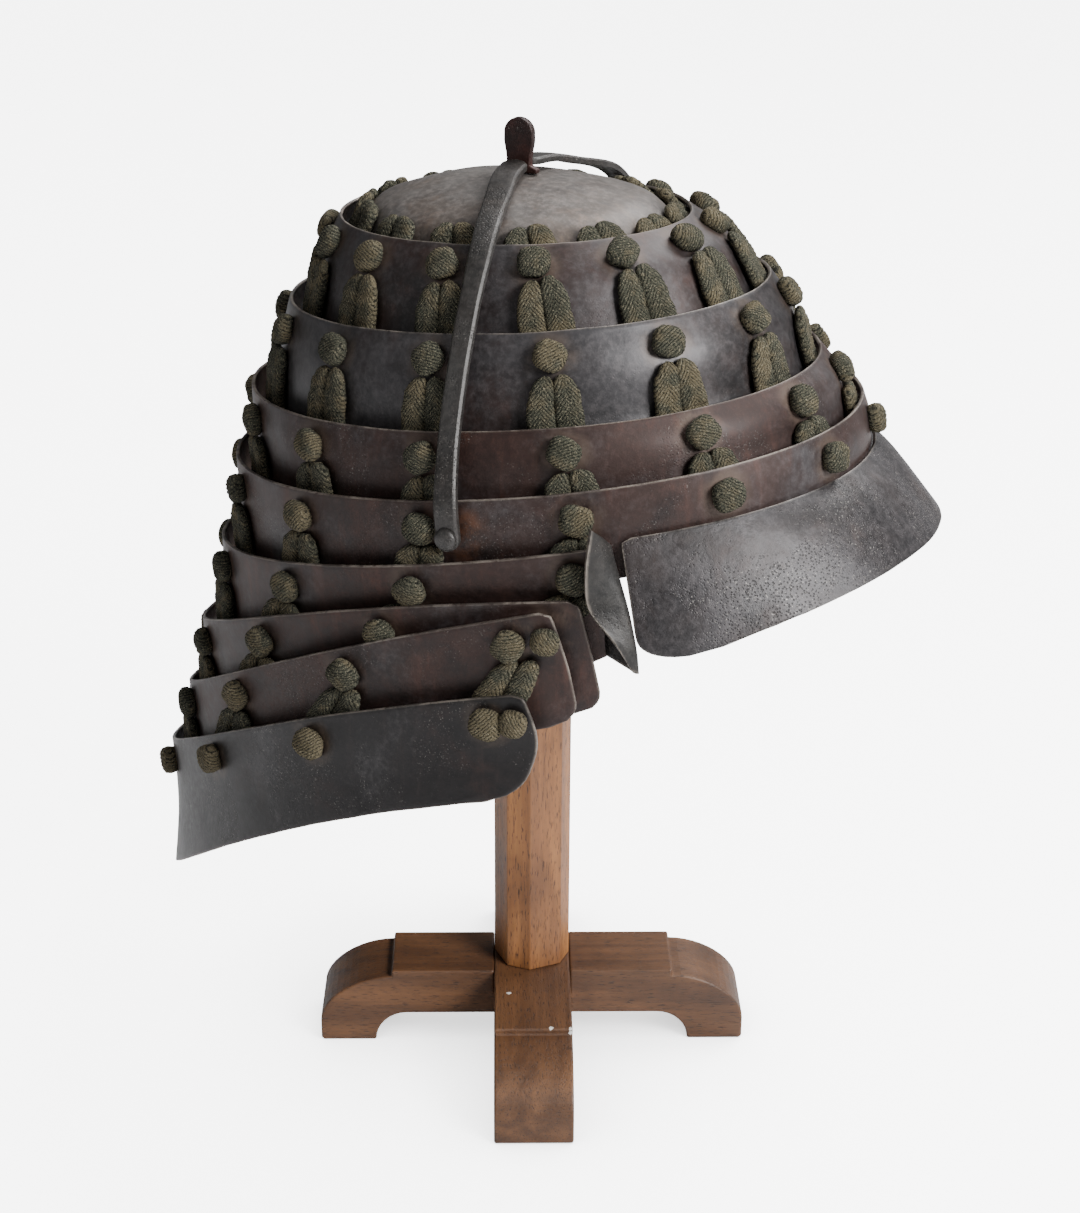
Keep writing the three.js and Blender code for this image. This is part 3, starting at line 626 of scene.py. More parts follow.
# %% The turned-back ears
EAR_DEPTH, EAR_WIDTH = 38 * MM, 12 * MM
EarRow = namedtuple("EarRow", "down forward out flap_back flap_out flap_up")
EAR_ROWS = [
    EarRow(0.0, 0.0, 0.0, 0.22, 0.75, 0.72),
    EarRow(0.26, 0.116, 0.06, 0.65, 0.72, 0.42),
    EarRow(0.52, 0.213, 0.09, 0.83, 0.67, 0.26),
    EarRow(0.82, 0.3, 0.13, 0.42, 0.42, 0.33),
    EarRow(1.0, 0.334, 0.158, 0.08, 0.1, 0.06),
]


def mirrored(spot, side):
    """The helmet's two sides are mirror images: -1 is its right and 1 its left."""
    return Vector((spot.x, AXIS.y + (spot.y - AXIS.y) * side, spot.z))


def side_word(side):
    return "right" if side < 0 else "left"


def ear(side):
    corner = face_place(NECK[0], NECK_ENDS[0][0], 0).at
    lines = []
    for row in EAR_ROWS:
        fold = corner + Vector((row.forward, row.out, -row.down)) * EAR_DEPTH
        flap = Vector((-row.flap_back, row.flap_out, row.flap_up)) * EAR_WIDTH
        inside = face_place(NECK[0], NECK_ENDS[0][0] + 1.5, row.down * EAR_DEPTH)
        middle = fold + flap * 0.5 + Vector((1.5 * MM * row.flap_out, 0, 0))
        lines.append([inside.at - inside.out * PLATE / 2, fold, middle, fold + flap])
    rails = [spline([line[k] for line in lines], 6) for k in range(4)]
    levels = len(rails[0])
    across = [spline([rail[i] for rail in rails], 6) for i in range(levels)]
    bm = bmesh.new()
    bmesh.ops.create_grid(bm, x_segments=len(across[0]) - 1, y_segments=levels - 1, size=0.5)
    edge_mm = bm.verts.layers.float.new("edge_mm")
    for vert in bm.verts:
        column = round((vert.co.x + 0.5) * (len(across[0]) - 1))
        level = round((0.5 - vert.co.y) * (levels - 1))
        vert[edge_mm] = min(len(across[0]) - 1 - column, levels - 1 - level) * 0.6
        vert.co = mirrored(across[level][column], side)
    return thicken(finish_piece(bm, f"ear_{side_word(side)}", EAR_IRON), offset=0.0)


for side in (-1, 1):
    print(ear(side).name)

# %% [markdown]
# ## The lacing
# Each column is a pair of flat braids. They run down a plate side by side, slip behind the next plate's
# edge, come out through its hole and are tied there in a round knot. A braid could be plaited strand by
# strand, but a swept flat tube whose skin is raised in slanting ridges, left and right by turns, reads
# the same and stays light.

# %% Sizes of the cords
LEG_WIDTH, LEG_THICK, KNOT_WIDTH, KNOT_RISE = 8.2 * MM, 3.8 * MM, 10.3 * MM, 5.2 * MM
CROWN_LEG = 17 * MM
LEG_STEPS, LEG_AROUND, LEG_RELIEF = 56, 16, 0.3 * MM
KNOT_STEPS, KNOT_AROUND, KNOT_RELIEF = 22, 20, 0.42 * MM
random.seed(11)


def nearest_inside(outer, inner, degrees):
    """The knot's place on the outer plate, and the nearest angle and way on the plate inside it."""
    knot = face_place(outer, degrees, HOLE_DROP)
    angle, way = degrees, way_down(inner, degrees) - LAP
    for step in (1.0, 0.3):
        ways = [way + k * step * MM for k in range(-14, 15)]
        way = min(ways, key=lambda w: (on_line(inner, angle, w)[0] - knot.at).length)
        angles = [angle + k * step for k in range(-6, 7)]
        angle = min(angles, key=lambda a: (on_line(inner, a, way)[0] - knot.at).length)
    return knot, angle, way


print("cord sizes set")

# %% [markdown]
# A sweep carries a cross-section along stations: each has a place, two directions and a half width and
# half thickness. The grid's seam is merged, and both ends shrink to a point, so the tube is closed.


# %% Sweeping a braid
Station = namedtuple("Station", "at across out half_width half_thick way")
PLY_PITCH, PLY_SLOPE = 1.5 * MM, 1.3


def plaited(aside, along):
    """Height of the plait's skin: plies that slant in from both sides, half a step apart."""
    phase = (along - abs(aside) * PLY_SLOPE) / PLY_PITCH + (0.5 if aside < 0 else 0.0)
    return abs(math.sin(math.pi * phase))


def braid(bm, stations, around, relief, layers, shade, spine=0.0):
    """A flat tube with a plaited skin, closed at both ends. The plies meet on its spine, off the middle."""
    made = bmesh.ops.create_grid(bm, x_segments=around, y_segments=len(stations) - 1, size=0.5)["verts"]
    tone, aside_mm, along_mm = layers
    for vert in made:
        turn = (vert.co.x + 0.5) * math.tau
        station = stations[round((vert.co.y + 0.5) * (len(stations) - 1))]
        lateral, height = -math.cos(turn), math.sin(turn)
        wide = math.copysign(abs(lateral) ** 0.8, lateral) * station.half_width
        thick = math.copysign(abs(height) ** 0.8, height) * station.half_thick
        raised = relief * plaited(wide + spine, station.way) * min(1, station.half_width / (2 * MM))
        spot = station.at + station.across * wide + station.out * thick
        lump = 0.5 * MM * noise.noise(spot * 260)
        outward = (station.across * lateral + station.out * height).normalized()
        vert.co = spot + outward * (raised + lump)
        vert[tone], vert[aside_mm], vert[along_mm] = shade, (wide + spine) / MM, station.way / MM
    return made


def leg_stations(part, start, stop, bowl_side, width):
    """Stations down one cord of a pair, from under a knot to behind the next plate's edge."""
    stations = []
    for k in range(LEG_STEPS + 1):
        share = k / LEG_STEPS
        angle = start[0] + share * (stop[0] - start[0])
        way = start[1] + share * (stop[1] - start[1])
        place = face_place(part, angle, way)
        open_up = min(1, share / 0.2)
        close_up = min(1, (1 - share) / 0.16)
        round_off = math.prod(math.sqrt(max(0.0, 1 - (1 - end) ** 2)) for end in (open_up, close_up))
        spread = 0.8 + 0.3 * math.sin(min(1, share * 1.5) * math.pi / 2)
        half_width = width / 2 * spread * round_off
        half_thick = LEG_THICK / 2 * round_off
        aside = bowl_side * width * 0.49 * spread * (0.5 + 0.5 * close_up) * (0.8 + 0.2 * open_up)
        lift = LEG_THICK / 2 + 0.2 * MM
        at = place.at + place.out * lift + place.round * aside
        run = share * (stop[1] - start[1])
        stations.append(Station(at, place.round, place.out, half_width, half_thick, run))
    return stations


def knot_stations(place, turn, size=1.0):
    """Stations across one knot: a short fat roll that lies on the plate."""
    across = place.round * math.cos(turn) - place.down * math.sin(turn)
    along = place.round * math.sin(turn) + place.down * math.cos(turn)
    stations = []
    for k in range(KNOT_STEPS + 1):
        level = -1 + 2 * k / KNOT_STEPS
        bulge = max(0.0, 1 - abs(level) ** 2.6) ** 0.42
        at = place.at + along * level * KNOT_WIDTH * 0.5 * size + place.out * KNOT_RISE * 0.42
        half_width, half_thick = KNOT_WIDTH / 2 * bulge * size, KNOT_RISE * 0.58 * bulge
        run = (level + 1) * KNOT_WIDTH / 2 + turn * 4 * MM
        stations.append(Station(at, across, place.out, half_width, half_thick, run))
    return stations


# %% [markdown]
# The columns stand every 25.7 degrees round the bowl. On the neck plates they drift back a little. The
# two front columns on each side end on the lowest ring, because the visor hangs there. At the front end
# of the neck guard the third and fourth plates carry a second knot beside the first.


# %% Lacing columns
def lacing(index, side, cord_finish):
    bowl_angle = (index + 0.5) * 180 / COLUMNS_AT_SIDE
    last = len(BOWL) if index < FRONT_COLUMNS else len(PLATES) - 1
    at_neck_ends = index == FRONT_COLUMNS
    bm = bmesh.new()
    layers = [bm.verts.layers.float.new(layer) for layer in ("tone", "aside_mm", "along_mm")]
    before = None

    def tie(knot, turn, fade, spine, size=1.0):
        braid(bm, knot_stations(knot, turn, size), KNOT_AROUND, KNOT_RELIEF, layers, fade, spine)

    for n in range(1, last + 1):
        neck = n - len(BOWL)
        degrees = side * column_angle(n, bowl_angle)
        fade, spine = 2.0 if n == len(PLATES) - 1 else random.random(), random.uniform(2.5, 6) * MM
        knot, angle, way = nearest_inside(PLATES[n], PLATES[n - 1], degrees)
        start = (angle, way - CROWN_LEG) if before is None else (before, HOLE_DROP + KNOT_WIDTH * 0.52)
        if not (at_neck_ends and neck == 3):
            for hand in (-1, 1):
                stations = leg_stations(PLATES[n - 1], start, (angle, way), hand, LEG_WIDTH)
                braid(bm, stations, LEG_AROUND, LEG_RELIEF, layers, random.random())
        else:
            knot = face_place(PLATES[n], degrees + side * 1.5, HOLE_DROP)
        if not (at_neck_ends and neck == 2):
            hand = random.choice((-1, 1))
            tie(knot, hand * random.uniform(0.1, 0.9), fade, hand * spine)
        if at_neck_ends and neck >= 3:
            beside = face_place(PLATES[n], degrees - side * 3.4, HOLE_DROP + 0.5 * MM)
            tie(beside, random.uniform(-0.3, 0.3), fade, spine, 0.85)
        before = degrees
    bmesh.ops.remove_doubles(bm, verts=bm.verts, dist=2e-6)
    bmesh.ops.recalc_face_normals(bm, faces=bm.faces)
    column = f"{side_word(side)}_{index + 1}"
    return finish_piece(bm, f"braid_{column}", cord_finish, nodes=[f"lacing_{column}"])


def cord_material():
    """Blackish green cord with olive and straw coloured fibres on the plies; the grooves between the plies
    are darkened as painted shade.
    """
    material, tree, shader = new_finish("lacing_cord", Roughness=0.95, Specular_IOR_Level=0.2)
    where = add_node(tree, "ShaderNodeTexCoord").outputs["Object"]
    fibre = clouds(tree, where, 2100.0, 3.0, 0.8)
    patch = clouds(tree, where, 150.0, 4.0, 0.6)
    tangle = clouds(tree, where, 620.0, 3.0, 0.6, 1.5)
    tone, aside, along = (carried(tree, name) for name in ("tone", "aside_mm", "along_mm"))
    slanted = minus(tree, along, times(tree, calc(tree, "ABSOLUTE", aside), PLY_SLOPE))
    step = times(tree, calc(tree, "GREATER_THAN", aside, 0.0), 0.5)
    wavy = plus(tree, calc(tree, "DIVIDE", slanted, PLY_PITCH / MM), times(tree, tangle, 1.5))
    phase = plus(tree, wavy, step)
    ply = calc(tree, "ABSOLUTE", calc(tree, "SINE", times(tree, phase, math.pi)))
    yarn = calc(tree, "ABSOLUTE", calc(tree, "SINE", times(tree, phase, 3 * math.pi)))
    skin = plus(tree, ply, times(tree, yarn, 0.3))
    skin = times(tree, skin, times(tree, plus(tree, tangle, 0.2), 1.4))
    raised = ramp(tree, skin, 0.1, 1.15)
    # Painted shade: the colour is darkest in the grooves between the plies and lighter on their crests.
    colour = mixed(tree, raised, (0.0095, 0.01, 0.0078, 1), (0.06, 0.062, 0.044, 1))
    faded = ramp(tree, plus(tree, patch, times(tree, tone, 0.18)), 0.52, 0.76)
    colour = mixed(tree, times(tree, faded, raised), colour, (0.14, 0.115, 0.068, 1))
    straw = times(tree, ramp(tree, fibre, 0.51, 0.69), plus(tree, raised, 0.25))
    colour = mixed(tree, times(tree, straw, 0.8), colour, (0.33, 0.29, 0.2, 1))
    tree.links.new(colour, shader.inputs["Base Color"])
    raise_skin(tree, shader, plus(tree, times(tree, fibre, 0.9), skin), 0.9, 0.6 * MM)
    return material


CORD = cord_material()
for side in (-1, 1):
    for index in range(COLUMNS_AT_SIDE):
        lacing(index, side, CORD)

# %% [markdown]
# ## Struts, rivets and the tab
# Two flat struts turn on rivets in the lowest ring and rise over the plates to the crown, where they end
# beside an upright tab. When they stand, the bowl stays open. A strut is a bar swept on a curve that
# clears the plates' edges, wider at both ends, with the edges of its outer face broken. How bright those
# edges are, as rubbed iron and as a painted highlight, is said by the edge_mm of each point: the smaller it
# is, the brighter.

# %% Strut sizes and path
STRUT_TOP, STRUT_WAIST, STRUT_EYE, STRUT_THICK = 9.4 * MM, 7.0 * MM, 8.4 * MM, 2.4 * MM
STRUT_CLEAR, STRUT_ANGLE, RIVET_DROP = 2.55 * MM, 84.7, 11 * MM
STRUT_AT_RIMS = [76.4, 81.3, 82.7, 84.1]
HEAD_RADIUS, HEAD_RISE, SHANK_RADIUS = 3.8 * MM, 2.1 * MM, 1.8 * MM
# Small edge_mm values paint the edges of the struts, the rivet heads and the tab bright: rubbed iron and a
# painted highlight.
STRUT_RUB_AND_GLINT, STRUT_PLAIN, HEAD_RUB_AND_GLINT, HEAD_PLAIN, TAB_RUB_AND_GLINT, TAB_PLAIN = 0.62, 1.5, 0.7, 1.2, 0.8, 3
TAB_FORWARD, TAB_THICK = 2 * MM, 3 * MM
STRUT_IRON = iron_material(
    "strut_iron", (0.0125, 0.0115, 0.011, 1), (0.027, 0.021, 0.017, 1), (0.047, 0.045, 0.043, 1), bump=0.35,
    Russet_Amount=0.35, Grey_Amount=0.45, Pits=0.9, Edge_Shine=1.0)
print("strut", STRUT_WAIST / MM, "mm wide")


def strut_line():
    """The curve of a strut's middle on the helmet's left side, from the rivet to the tab, and the way out."""
    pivot = face_place(BOWL[3], STRUT_ANGLE, RIVET_DROP).at
    lift = STRUT_CLEAR + STRUT_THICK / 2

    def outward(at):
        return Vector((0, at.y - AXIS.y, at.z - pivot.z)).normalized()

    rims = [edge_point(rim, angle, BOWL_HEIGHT) for rim, angle in zip(BOWL_RIMS, STRUT_AT_RIMS)][::-1]
    shoulder, brow = (edge_point(CROWN_EDGES[n], STRUT_AT_RIMS[0], BOWL_HEIGHT) for n in (2, 1))
    over = [at + outward(at) * lift for at in (*rims, shoulder, brow)]
    crest = AXIS + Vector((TAB_FORWARD, TAB_THICK / 2 + 2 * SEAM, RIM_HEIGHT + BOWL_HEIGHT + lift))
    start = pivot + Vector((0, lift, 0))
    fall = Vector((start.x - over[0].x, 0, start.z - over[0].z)).normalized()
    return spline([start + fall * STRUT_EYE / 2, start, *over, crest], 10), outward


# %% [markdown]
# The cross-section is a flat bar with its two outer edges taken off. The ends are round: the width closes
# there like a half circle while the thickness stays.


# %% Forging the struts
def strut(side):
    line, outward = strut_line()
    lengths = [0.0]
    for a, b in zip(line, line[1:]):
        lengths.append(lengths[-1] + (b - a).length)
    total = lengths[-1]
    bevel, swell = 0.75 * MM, 0.12 * MM
    section = [(-1, -1, 0), (-1, 1, -bevel), (-1, 1, 0), (-0.35, 1, swell), (0.35, 1, swell), (1, 1, 0),
               (1, 1, -bevel), (1, -1, 0), (0, -1, 0), (-1, -1, 0)]
    bm = bmesh.new()
    bmesh.ops.create_grid(bm, x_segments=len(section) - 1, y_segments=90, size=0.5)
    edge_mm = bm.verts.layers.float.new("edge_mm")
    for vert in bm.verts:
        corner = round((vert.co.x + 0.5) * (len(section) - 1))
        level = vert.co.y + 0.5
        arc = total * (0.5 - 0.5 * math.cos(math.pi * level))
        i = max(k for k in range(len(lengths) - 1) if lengths[k] <= arc + 1e-9)
        at = line[i].lerp(line[i + 1], (arc - lengths[i]) / (lengths[i + 1] - lengths[i]))
        along = (line[i + 1] - line[i]).normalized()
        out = outward(at)
        across = along.cross(out).normalized()
        to_eye = max(0, 1 - 4 * arc / total) * (STRUT_EYE - STRUT_WAIST)
        to_top = max(0, 2 * arc / total - 1) * (STRUT_TOP - STRUT_WAIST)
        half = (STRUT_WAIST + to_eye + to_top) / 2
        from_end = min(arc, total - arc)
        if from_end < half:
            half *= math.sqrt(max(0.0, 1 - (1 - from_end / half) ** 2))
        half *= 1 + 0.035 * noise.noise(at * 90)
        wide, thick, drop = section[corner]
        if drop == -bevel:
            width, height = half, STRUT_THICK / 2 - min(bevel, half)
        elif abs(wide) == 1 and thick == 1:
            width, height = max(half - bevel, 0), STRUT_THICK / 2
        else:
            width, height = half * abs(wide) if wide else 0, thick * STRUT_THICK / 2 + drop
        vert.co = mirrored(at + across * math.copysign(width, wide) + out * height, side)
        vert[edge_mm] = STRUT_RUB_AND_GLINT if drop == -bevel else STRUT_PLAIN
    bmesh.ops.remove_doubles(bm, verts=bm.verts, dist=2e-6)
    bmesh.ops.recalc_face_normals(bm, faces=bm.faces)
    body = f"strut_{side_word(side)}"
    return break_edges(finish_piece(bm, f"{body}_forged", STRUT_IRON, body, [body]),
                       0.2 * MM, 35)


for side in (-1, 1):
    print(strut(side).name)

# %% [markdown]
# A rivet is a round pin with a hammered head, so it is turned: half its outline is spun about its own
# axis. The real head is low and a little flat on top, and a hammered clench closes it inside the ring.


# %% Turning the rivets
def rivet(side):
    pivot = face_place(BOWL[3], STRUT_ANGLE, RIVET_DROP).at
    outside, inside = STRUT_CLEAR + STRUT_THICK + 0.1 * MM, -PLATE - 3 * SEAM
    clench = [(0, inside - 1.0 * MM), (2.2 * MM, inside - 0.8 * MM), (3.0 * MM, inside)]
    shank = [(SHANK_RADIUS, inside), (SHANK_RADIUS, outside)]
    head = [(HEAD_RADIUS * wide, outside + HEAD_RISE * high)
            for wide, high in ((1, 0), (0.97, 0.45), (0.78, 0.8), (0.4, 0.97), (0, 1))]
    profile = [*clench, *shank, *head]
    bm = bmesh.new()
    edge_mm = bm.verts.layers.float.new("edge_mm")
    dots = [bm.verts.new((radius, 0, height)) for radius, height in profile]
    for a, b in zip(dots, dots[1:]):
        bm.edges.new((a, b))
    bmesh.ops.spin(bm, geom=bm.verts[:] + bm.edges[:], cent=(0, 0, 0), axis=(0, 0, 1), angle=math.tau,
                   steps=32, use_merge=True, use_duplicate=False)
    bmesh.ops.remove_doubles(bm, verts=bm.verts, dist=1e-6)
    for vert in bm.verts:
        dent = 0.12 * MM * noise.noise(vert.co * 500 + Vector((side, 0, 0)))
        vert.co.x += dent if abs(vert.co.x) > 1e-6 else 0
        vert[edge_mm] = HEAD_PLAIN if vert.co.z > outside + 0.9 * HEAD_RISE else HEAD_RUB_AND_GLINT
    lay_flat = Matrix.Rotation(-side * math.pi / 2, 3, "X")
    bmesh.ops.rotate(bm, verts=bm.verts, cent=(0, 0, 0), matrix=lay_flat)
    bmesh.ops.translate(bm, verts=bm.verts, vec=mirrored(pivot, side))
    bmesh.ops.recalc_face_normals(bm, faces=bm.faces)
    node = f"rivet_{side_word(side)}"
    return finish_piece(bm, f"{node}_hammered", STRUT_IRON, nodes=[node])


for side in (-1, 1):
    print(rivet(side).name)

# %% [markdown]
# The tab on the crown is a small upright paddle. It is cut from an outline: one face, extruded to its
# thickness, then its edges are bevelled so that it looks filed and handled. The stand's bars are cut the
# same way below.


# %% Cutting the tab
def cut_from_outline(points, thickness, bevel, segments=2):
    """A slab whose outline lies in XZ, with its thickness along Y and its edges broken."""
    bm = bmesh.new()
    face = bm.faces.new([bm.verts.new((x, -thickness / 2, z)) for x, z in points])
    grown = bmesh.ops.extrude_face_region(bm, geom=[face])["geom"]
    far_side = [made for made in grown if isinstance(made, bmesh.types.BMVert)]
    bmesh.ops.translate(bm, verts=far_side, vec=(0, thickness, 0))
    bmesh.ops.recalc_face_normals(bm, faces=bm.faces)
    rim = [edge for edge in bm.edges if edge.calc_face_angle(0) > math.radians(60)]
    bmesh.ops.bevel(bm, geom=rim, offset=bevel, affect="EDGES", segments=segments, profile=0.5, material=-1)
    bmesh.ops.recalc_face_normals(bm, faces=bm.faces)
    return bm


def arc_points(centre, radii, start, stop, count):
    steps = [math.radians(start + (stop - start) * k / count) for k in range(count + 1)]
    return [(centre[0] + radii[0] * math.cos(t), centre[1] + radii[1] * math.sin(t)) for t in steps]


TAB_FOOT = AXIS + Vector((TAB_FORWARD, 0, RIM_HEIGHT + BOWL_HEIGHT + SEAM))
neck_side = [(4.3, 2.6), (4.35, 4.5), (4.6, 6.8), (5.05, 9.0), (5.3, 10.6)]
paddle = [(7, 0), (7, 1.3), (6.7, 1.6), *neck_side, *arc_points((0, 13.2), (5.3, 5.2), 8, 172, 18)]
paddle += [(-x, z) for x, z in reversed(neck_side)] + [(-6.7, 1.6), (-7, 1.3), (-7, 0)]
bm = cut_from_outline([(x * MM, z * MM) for x, z in paddle], TAB_THICK, 0.55 * MM, 3)
bmesh.ops.translate(bm, verts=bm.verts, vec=TAB_FOOT)
edge_mm = bm.verts.layers.float.new("edge_mm")
for vert in bm.verts:
    vert[edge_mm] = TAB_RUB_AND_GLINT if abs(vert.co.y - AXIS.y) < TAB_THICK / 2 - 0.3 * MM else TAB_PLAIN
# The tab's iron is darker than the rest: partly its own near-black iron, partly painted shade on its upright
# face.
TAB_IRON = iron_material(
    "tab_iron", (0.006, 0.0045, 0.0045, 1), (0.03, 0.0095, 0.007, 1), (0.02, 0.018, 0.018, 1), bump=0.5,
    Russet_Amount=0.55, Grey_Amount=0.1, Pits=0.6, Edge_Shine=0.5)
tab = finish_piece(bm, "crown_tab_filed", TAB_IRON, nodes=["crown_tab"], smooth=False)
print(tab.name, len(tab.data.polygons), "faces")

# %% [markdown]
# ## The stand
# Two bars of a plain warm hardwood are half-lapped into a cross, and an eight-sided post stands on them.
# Wood has long grain along each piece, short dark pores, darker patches where it was handled and paler
# broken edges. The pattern is stretched along the grain, and a Mapping node turns it into each piece's
# own direction.


# %% Wood
def wood_group():
    group, given, out = new_group(
        "oiled_wood",
        [("Where", "NodeSocketVector", None), ("Light", "NodeSocketColor", (0.2, 0.09, 0.04, 1)),
         ("Dark", "NodeSocketColor", (0.07, 0.03, 0.015, 1)), ("Shade", "NodeSocketFloat", 0.4)],
        [("Color", "NodeSocketColor"), ("Roughness", "NodeSocketFloat"), ("Height", "NodeSocketFloat")])
    where = given["Where"]
    long_way, short_way = (
        add_node(group, "ShaderNodeMapping", {"Vector": where, "Scale": (stretch, 1, 1)}).outputs[0]
        for stretch in (0.07, 0.12))
    figure = clouds(group, long_way, 95.0, 5.0, 0.55, 0.5)
    fibre = clouds(group, long_way, 900.0, 3.0, 0.6)
    pore = clouds(group, short_way, 2100.0, 2.0, 0.5)
    patch = clouds(group, where, 22.0, 4.0, 0.6)
    colour = mixed(group, ramp(group, figure, 0.36, 0.68), given["Dark"], given["Light"])
    colour = tinted(group, times(group, ramp(group, fibre, 0.4, 0.7), 0.35), colour, (1.5, 1.4, 1.3, 1))
    pores = ramp(group, pore, 0.57, 0.66)
    colour = mixed(group, times(group, pores, 0.75), colour, (0.022, 0.011, 0.007, 1))
    dirt = ramp(group, plus(group, patch, times(group, given["Shade"], 0.3)), 0.52, 0.78)
    colour = tinted(group, times(group, dirt, 0.6), colour, (0.4, 0.36, 0.33, 1))
    colour = tinted(group, times(group, carried(group, "worn"), 0.45), colour, (2.0, 1.9, 1.75, 1))
    group.links.new(colour, out["Color"])
    group.links.new(plus(group, 0.42, times(group, figure, 0.2)), out["Roughness"])
    height = minus(group, times(group, fibre, 0.4), pores)
    group.links.new(height, out["Height"])
    return group


WOOD = wood_group()


def wood_material(name, turn, shade, light, dark, chips=()):
    """Wood whose grain runs along X once its coordinates have been turned."""
    material, tree, shader = new_finish(name, Coat_Weight=0.08, Coat_Roughness=0.4)
    place = add_node(tree, "ShaderNodeTexCoord").outputs["Object"]
    where = add_node(tree, "ShaderNodeMapping", {"Vector": place, "Rotation": turn}).outputs[0]
    looks = {"Where": where, "Shade": shade, "Light": light, "Dark": dark}
    surface = add_node(tree, "ShaderNodeGroup", looks, node_tree=WOOD)
    colour = surface.outputs["Color"]
    for chip in chips:
        apart = add_node(tree, "ShaderNodeVectorMath", {0: place, 1: chip}, operation="DISTANCE")
        ragged = plus(tree, apart.outputs["Value"], times(tree, clouds(tree, place, 900.0), 1.6 * MM))
        spot = minus(tree, 1.0, ramp(tree, ragged, 1.5 * MM, 1.8 * MM))
        colour = mixed(tree, spot, colour, (0.75, 0.74, 0.7, 1))
    tree.links.new(colour, shader.inputs["Base Color"])
    tree.links.new(surface.outputs["Roughness"], shader.inputs["Roughness"])
    raise_skin(tree, shader, surface.outputs["Height"], 0.35, 0.8 * MM)
    return material


# %% [markdown]
# A bar's side view is one outline: feet that curve down to the floor, a raised block in the middle, a low
# arch below and the notch for the other bar. Both bars are cut from it, one notched from above and one
# from below.

# %% Bars and post
STAND_TURN, BAR_WIDTH, BAR_HEIGHT, ARCH, STEP = 25.5, 29.0, 31.0, 12.0, 2.6
FOOT_REACH, BLOCK_REACH, FOOT_INNER, TOE = 81.8, 54.0, 60.5, 9.0
POST_WIDTH, POST_FACE, POST_TURN = 26.0, 9.4, 22.5
BAR_WOOD, BAR_GRAIN = (0.112, 0.052, 0.022, 1), (0.06, 0.027, 0.012, 1)
POST_WOOD, POST_GRAIN = (0.29, 0.125, 0.042, 1), (0.15, 0.062, 0.022, 1)
CHIPS = [(-53.2, -6.6, 31.0), (-54.3, -13.8, 29.4), (-30, 9, 31), (-53.5, -14, 31.0)]


def bezier(a, b, c, d, count):
    line = []
    for k in range(count + 1):
        t = k / count
        shares = ((1 - t) ** 3, 3 * t * (1 - t) ** 2, 3 * t * t * (1 - t), t**3)
        line.append(tuple(sum(s * p[axis] for s, p in zip(shares, (a, b, c, d))) for axis in (0, 1)))
    return line


def bar_outline(notched_above):
    top, half, middle = BAR_HEIGHT - STEP, BAR_WIDTH / 2 + 0.05, (BAR_HEIGHT + ARCH) / 2
    knee = (FOOT_REACH + BLOCK_REACH) / 2
    foot = [(FOOT_INNER, 0), (FOOT_REACH - 1, 0), (FOOT_REACH, 1)]
    foot += bezier((FOOT_REACH, TOE), (FOOT_REACH, (TOE + top) / 2), (knee, top), (BLOCK_REACH, top), 12)
    foot += [(BLOCK_REACH, BAR_HEIGHT)]
    arch = arc_points((FOOT_INNER - ARCH, 0), (ARCH, ARCH), 90, 0, 8)[:-1]
    above = [(half, BAR_HEIGHT), (half, middle - 0.18)] if notched_above else []
    below = [] if notched_above else [(half, middle + 0.18), (half, ARCH)]
    right = [*below, *arch, *foot, *above]
    return right + [(-x, z) for x, z in reversed(right)]


def place_in_stand(bm, turn):
    bmesh.ops.rotate(bm, verts=bm.verts, cent=(0, 0, 0), matrix=Matrix.Rotation(math.radians(turn), 3, "Z"))
    bmesh.ops.translate(bm, verts=bm.verts, vec=(post_middle.x, post_middle.y, 0))


def mark_worn(bm, spread=1.0):
    """Marks how far each point is rubbed pale. All of them lie on the broken edges."""
    worn = bm.verts.layers.float.new("worn")
    for vert in bm.verts:
        vert[worn] = max(0.0, 0.75 + 0.6 * noise.noise(vert.co * 160)) * spread


for name, turn, above in (("stand_bar_lower", 0, True), ("stand_bar_upper", 90, False)):
    bm = cut_from_outline([(x * MM, z * MM) for x, z in bar_outline(above)], BAR_WIDTH * MM, 0.8 * MM, 3)
    mark_worn(bm)
    place_in_stand(bm, STAND_TURN + turn)
    swing = Matrix.Rotation(math.radians(STAND_TURN + turn), 3, "Z")
    chips = [] if above else [swing @ Vector(chip) * MM + Vector((*post_middle.xy, 0)) for chip in CHIPS]
    grain_turn = (0, 0, -math.radians(STAND_TURN + turn))
    finish = wood_material(f"{name}_wood", grain_turn, 0.35, BAR_WOOD, BAR_GRAIN, chips)
    finish_piece(bm, f"{name}_cut", finish, nodes=[name], smooth=False)

bm = bmesh.new()
bmesh.ops.create_cube(bm, size=1)
foot_height = (BAR_HEIGHT + 0.2) * MM
bmesh.ops.scale(bm, verts=bm.verts, vec=(POST_WIDTH * MM, POST_WIDTH * MM, post_high.z - foot_height))
bmesh.ops.translate(bm, verts=bm.verts, vec=(0, 0, (post_high.z + foot_height) / 2))
corner_cuts = [edge for edge in bm.edges if abs(edge.verts[0].co.z - edge.verts[1].co.z) > 0.1]
bmesh.ops.bevel(bm, geom=corner_cuts, offset=POST_FACE / math.sqrt(2) * MM, affect="EDGES", segments=1,
                profile=0.5, material=-1)
arrises = [edge for edge in bm.edges if edge.calc_face_angle(0) > math.radians(30)]
bmesh.ops.bevel(bm, geom=arrises, offset=0.4 * MM, affect="EDGES", segments=2, profile=0.5, material=-1)
mark_worn(bm, 0.7)
place_in_stand(bm, STAND_TURN + POST_TURN)
